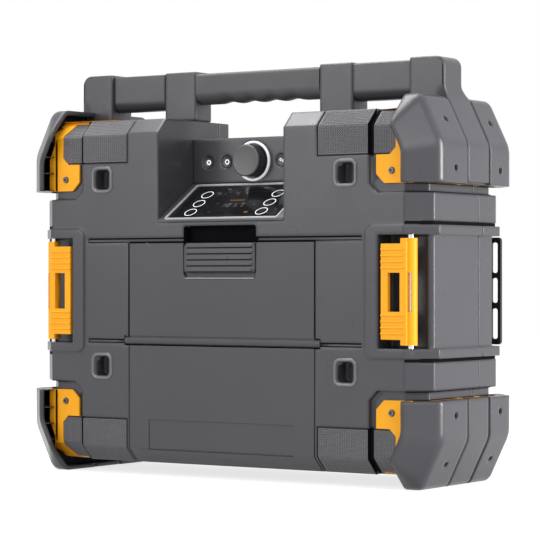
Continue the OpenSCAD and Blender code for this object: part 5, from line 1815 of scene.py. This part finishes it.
@dataclass
class Grille:
    """Folded sheets of one corner's woven grille and the black channel of painted shade between them."""

    shop: Workshop
    side: Side
    level: Level
    low: float = 116.8
    bend: float = 143.0
    bend_slope: float = 0.414
    end_y: float = -58.6
    wing_end_y: float = -55.7
    wing_from: float = 3.0
    pitch: Pair = (2.36, 2.11)
    wave: float = 0.35
    # Share of the wave that is left out of the depth where the sheet folds back.
    flatter: float = 0.3
    bar: float = 0.25
    wire: float = 0.5
    gap: float = 1.2
    # Left edge, right edge and inset of the two sheets, and the wing's cut corners.
    front: Point = (104.1, 153.9, 0.9)
    wing: Point = (158.5, 179.5, 4.1)
    wing_cuts: tuple[tuple[Pair, Pair], ...] = (
        ((173.8, 0.0), (1.0, -1.0)), ((179.7, 28.5), (10.6, 5.0)),
    )
    # Left edge, right edge, front and back of the cloth strips behind the sheets, and of the black
    # strips of painted shade in the channel between them.
    cloth: tuple[Point, ...] = ((102.9, 153.8, 1.8, 2.2), (158.3, 171.5, 5.0, 5.4))
    channel: tuple[Point, ...] = ((154.9, 158.2, 3.6, 4.6), (153.9, 154.9, 0.5, 2.6))

    def fold(self, inset: float) -> float:
        """Returns the height at which a sheet at this inset folds back."""
        return self.bend - self.bend_slope * inset

    def end(self, inset: float) -> float:
        """Returns the Y at which a sheet at this inset ends, further back for the wing."""
        return self.end_y if inset < self.wing_from else self.wing_end_y

    def weave(self, left: float, columns: int, rows: int, cell: Pair) -> bmesh.types.BMesh:
        """Makes a flat net of diamonds, with every second point raised.

        Args:
            left: X of the sheet's left edge.
            columns: diamonds across.
            rows: diamonds along the sheet.
            cell: width and length of a diamond.

        Returns:
            The net, which is larger than the sheet.
        """
        across, along = cell
        count = 2 * (columns + rows) + 4
        mesh = bmesh.new()
        bmesh.ops.create_grid(mesh, x_segments=count, y_segments=count, size=count * DIAGONAL / 2,
                              matrix=Matrix.Rotation(math.pi / 4, 4, "Z"))
        for vert in mesh.verts:
            x, y, _ = vert.co
            out = self.wave * (1 if round(2 * x) % 2 else -1)
            place = (left + (x + columns / 2) * across, self.gap + (y + rows / 2) * along, out)
            vert.co = Vector(place) * MM
        return mesh

    def lattice(self, left: float, right: float, inset: float,
                cuts: Sequence[tuple[Pair, Pair]] = ()) -> bmesh.types.BMesh:
        """Makes one sheet of diamond mesh.

        Args:
            left: X of its left edge.
            right: X of its right edge.
            inset: how far it lies behind the front of the body.
            cuts: corners that are cut off, each as a point and an outward direction, in X and in
                length along the sheet.

        Returns:
            The open sheet in the upper right corner.
        """
        fold = self.fold(inset) - self.low
        width = right - left
        length = fold + (self.end(inset) - FRONT_Y - inset) / DIAGONAL - self.gap
        columns, rows = round(width / self.pitch[0]), round(length / self.pitch[1])
        mesh = self.weave(left, columns, rows, (width / columns, length / rows))
        sides = [((left, 0), (-1, 0)), ((right, 0), (1, 0)), ((left, self.gap), (0, -1)),
                 ((left, self.gap + length), (0, 1)), *cuts]
        for at, outward in sides:
            cut(mesh, (*at, 0), (*outward, 0), clear=True)
        least = self.pitch[0] * self.pitch[1] / 8 * MM * MM
        cells = [face for face in mesh.faces if face.calc_area() > least]
        bmesh.ops.inset_individual(mesh, faces=cells, thickness=self.bar * MM, use_even_offset=True)
        bmesh.ops.delete(mesh, geom=cells, context="FACES")
        for vert in mesh.verts:
            x, s, out = vert.co / MM
            back = max(0.0, s - fold) * DIAGONAL
            lean = DIAGONAL if s > fold else 0.0
            y = FRONT_Y + inset + back - out * (1 - lean * self.flatter)
            vert.co = Vector((x, y, self.low + min(s, fold) + back + out * lean)) * MM
        return mesh

    def side_view(self, inset: float) -> list[Pair]:
        """Returns the three points of a sheet's side view, in Y and height."""
        start, end, fold = FRONT_Y + inset, self.end(inset), self.fold(inset)
        return [(start, self.low), (start, fold), (end, fold + end - start)]

    def strip(self, left: float, right: float, front: float, back: float) -> bmesh.types.BMesh:
        """Makes a folded strip between two depths."""
        outline = self.side_view(front) + self.side_view(back)[::-1]
        return prism([(left, y, z) for y, z in outline], (right - left, 0, 0))

    def build(self) -> None:
        """Builds the two sheets, the cloth behind them and the black strips of painted shade in the
        channel.
        """
        node = f"grille_{corner_name(self.side, self.level)}"
        for part, mesh in (("front", self.lattice(*self.front)),
                           ("wing", self.lattice(*self.wing, self.wing_cuts))):
            to_corner(mesh, self.side, self.level)
            piece = self.shop.place(mesh, f"{node}_{part}", Skin.MESH, RADIO, smooth=25,
                                    weighted=False)
            solid = piece.modifiers.new("wire", "SOLIDIFY")
            solid.thickness, solid.offset = self.wire * MM, 0.0
            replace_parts(piece, node)
        for part, skin, strips in (("cloth", Skin.SPEAKER, self.cloth),
                                   ("channel", Skin.GAP, self.channel)):
            mesh = to_corner(join_meshes([self.strip(*strip) for strip in strips]), self.side,
                             self.level)
            piece = self.shop.place(mesh, f"{node}_{part}", skin, RADIO, slot=Skin.MESH)
            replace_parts(piece, node)


@dataclass
class Sound:
    """Grilles, speakers and the boards inside."""

    shop: Workshop

    def build(self) -> None:
        """Builds the grilles and dresses the speakers."""
        for level in Level:
            for side in Side:
                Grille(self.shop, side, level).build()
        self.shop.keep_nodes(Skin.SPEAKER, "speaker_baskets", "speaker_cones")
        self.shop.keep_nodes(Skin.MAGNET, "speaker_magnets")
        self.shop.keep_nodes(Skin.BOARD, "main_board", "power_supply")


# ---- Studio ----


@dataclass
class Softbox:
    """A rectangular studio lamp aimed at the radio."""

    name: str
    at: Point
    size: Point
    radiance: float
    aim: Point = (0, 0, 0.18)

    def build(self) -> None:
        """Makes the lamp, whose power follows from its size and brightness."""
        data = bpy.data.lights.new(self.name, "AREA")
        data.shape = "RECTANGLE"
        data.size, data.size_y = self.size
        data.energy = self.radiance * math.pi * self.size[0] * self.size[1]
        lamp = bpy.data.objects.new(self.name, data)
        lamp.location = self.at
        lamp.rotation_euler = (Vector(self.aim) - Vector(self.at)).to_track_quat("-Z", "Y").to_euler()
        bpy.context.scene.collection.objects.link(lamp)


def seen_rays(tree: bpy.types.NodeTree) -> bpy.types.Node:
    """Adds a value that is 1 for rays from the camera, from reflections and through glass.

    Args:
        tree: node tree of a stage material or of the world.

    Returns:
        The node that gives the value.
    """
    path = tree.nodes.new("ShaderNodeLightPath")
    first, second = tree.nodes.new("ShaderNodeMath"), tree.nodes.new("ShaderNodeMath")
    first.operation = second.operation = "MAXIMUM"
    tree.links.new(path.outputs["Is Camera Ray"], first.inputs[0])
    tree.links.new(path.outputs["Is Glossy Ray"], first.inputs[1])
    tree.links.new(first.outputs[0], second.inputs[0])
    tree.links.new(path.outputs["Is Transmission Ray"], second.inputs[1])
    return second


@dataclass
class Studio:
    """Floor, backdrop light, lamps and camera."""

    azimuth: float = 33.9
    eye: Point = (1.1919, -1.7660, 0.1810)
    lens: float = 155.528
    sensor: float = 36.0
    rise: float = 0.01224
    clip: Pair = (0.05, 50.0)
    backdrop: float = 0.5
    floor_half: float = 15.0
    floor_colour: float = 0.5
    floor_glow: float = 0.75
    lamps: tuple[Softbox, ...] = (
        Softbox("softbox_over", (-0.26, -0.05, 1.35), (0.8, 0.85), 8.0),
        Softbox("softbox_side", (1.25, 1.55, 0.2), (1.6, 0.5), 0.4),
        Softbox("softbox_front", (-0.80, -1.9, 0.85), (1.5, 1.2), 3.0),
        Softbox("softbox_corner", (1.05, -0.85, 0.95), (0.8, 0.6), 3.6),
        Softbox("softbox_edge", (1.95, 0.55, 0.45), (0.2, 1.3), 64.0),
    )

    def camera(self) -> None:
        """Makes the level camera to the right of the radio's front."""
        data = bpy.data.cameras.new("camera")
        data.lens, data.sensor_width = self.lens, self.sensor
        data.shift_y = self.rise
        data.clip_start, data.clip_end = self.clip
        eye = bpy.data.objects.new("camera", data)
        eye.location = self.eye
        eye.rotation_euler = (math.pi / 2, 0.0, math.radians(self.azimuth))
        bpy.context.scene.collection.objects.link(eye)
        bpy.context.scene.camera = eye

    def floor(self) -> None:
        """Makes the pale floor, white where it is seen, with the radio's shadow on it."""
        mesh = bmesh.new()
        bmesh.ops.create_grid(mesh, x_segments=1, y_segments=1, size=self.floor_half)
        data = bpy.data.meshes.new("floor")
        mesh.to_mesh(data)
        mesh.free()
        floor = bpy.data.objects.new("floor", data)
        bpy.context.scene.collection.objects.link(floor)
        graph = Graph("finish_floor")
        graph.fix(Base_Color=(*(self.floor_colour,) * 3, 1), Roughness=0.9, Specular_IOR_Level=0.0,
                  Emission_Color=(1, 1, 1, 1))
        level = graph.add("ShaderNodeMapRange", To_Min=0.0, To_Max=self.floor_glow)
        graph.link(seen_rays(graph.tree), "Value", level, "Value")
        graph.link(level, "Result", graph.shader, "Emission Strength")
        data.materials.append(graph.material)

    def world(self) -> None:
        """Makes the backdrop: white where it is seen, softer where it lights."""
        world = bpy.data.worlds.new("studio")
        bpy.context.scene.world = world
        world.use_nodes = True
        tree = world.node_tree
        tree.nodes.clear()
        output = tree.nodes.new("ShaderNodeOutputWorld")
        back = tree.nodes.new("ShaderNodeBackground")
        level = tree.nodes.new("ShaderNodeMapRange")
        level.inputs["To Min"].default_value = self.backdrop
        level.inputs["To Max"].default_value = 1.0
        tree.links.new(seen_rays(tree).outputs[0], level.inputs["Value"])
        tree.links.new(level.outputs["Result"], back.inputs["Strength"])
        back.inputs["Color"].default_value = (1, 1, 1, 1)
        tree.links.new(back.outputs["Background"], output.inputs["Surface"])

    def build(self) -> None:
        """Sets up the whole studio."""
        bpy.context.scene.view_settings.view_transform = "Standard"
        self.camera()
        self.floor()
        self.world()
        for lamp in self.lamps:
            lamp.build()


def main() -> None:
    """Builds the studio and every sub-assembly in order."""
    logging.basicConfig(level=logging.INFO, format="%(name)s: %(message)s")
    for item in list(bpy.data.objects):
        bpy.data.objects.remove(item)
    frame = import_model()
    shop = Workshop(frame)
    Studio().build()
    for kind in (Housing, Corners, Handle, FrontDoor, Latches, Controls, Sound):
        assembly = kind(shop)
        assembly.build()
        LOG.info("%s done, %d pieces so far", type(assembly).__name__, shop.made)


if __name__ == "__main__":
    main()
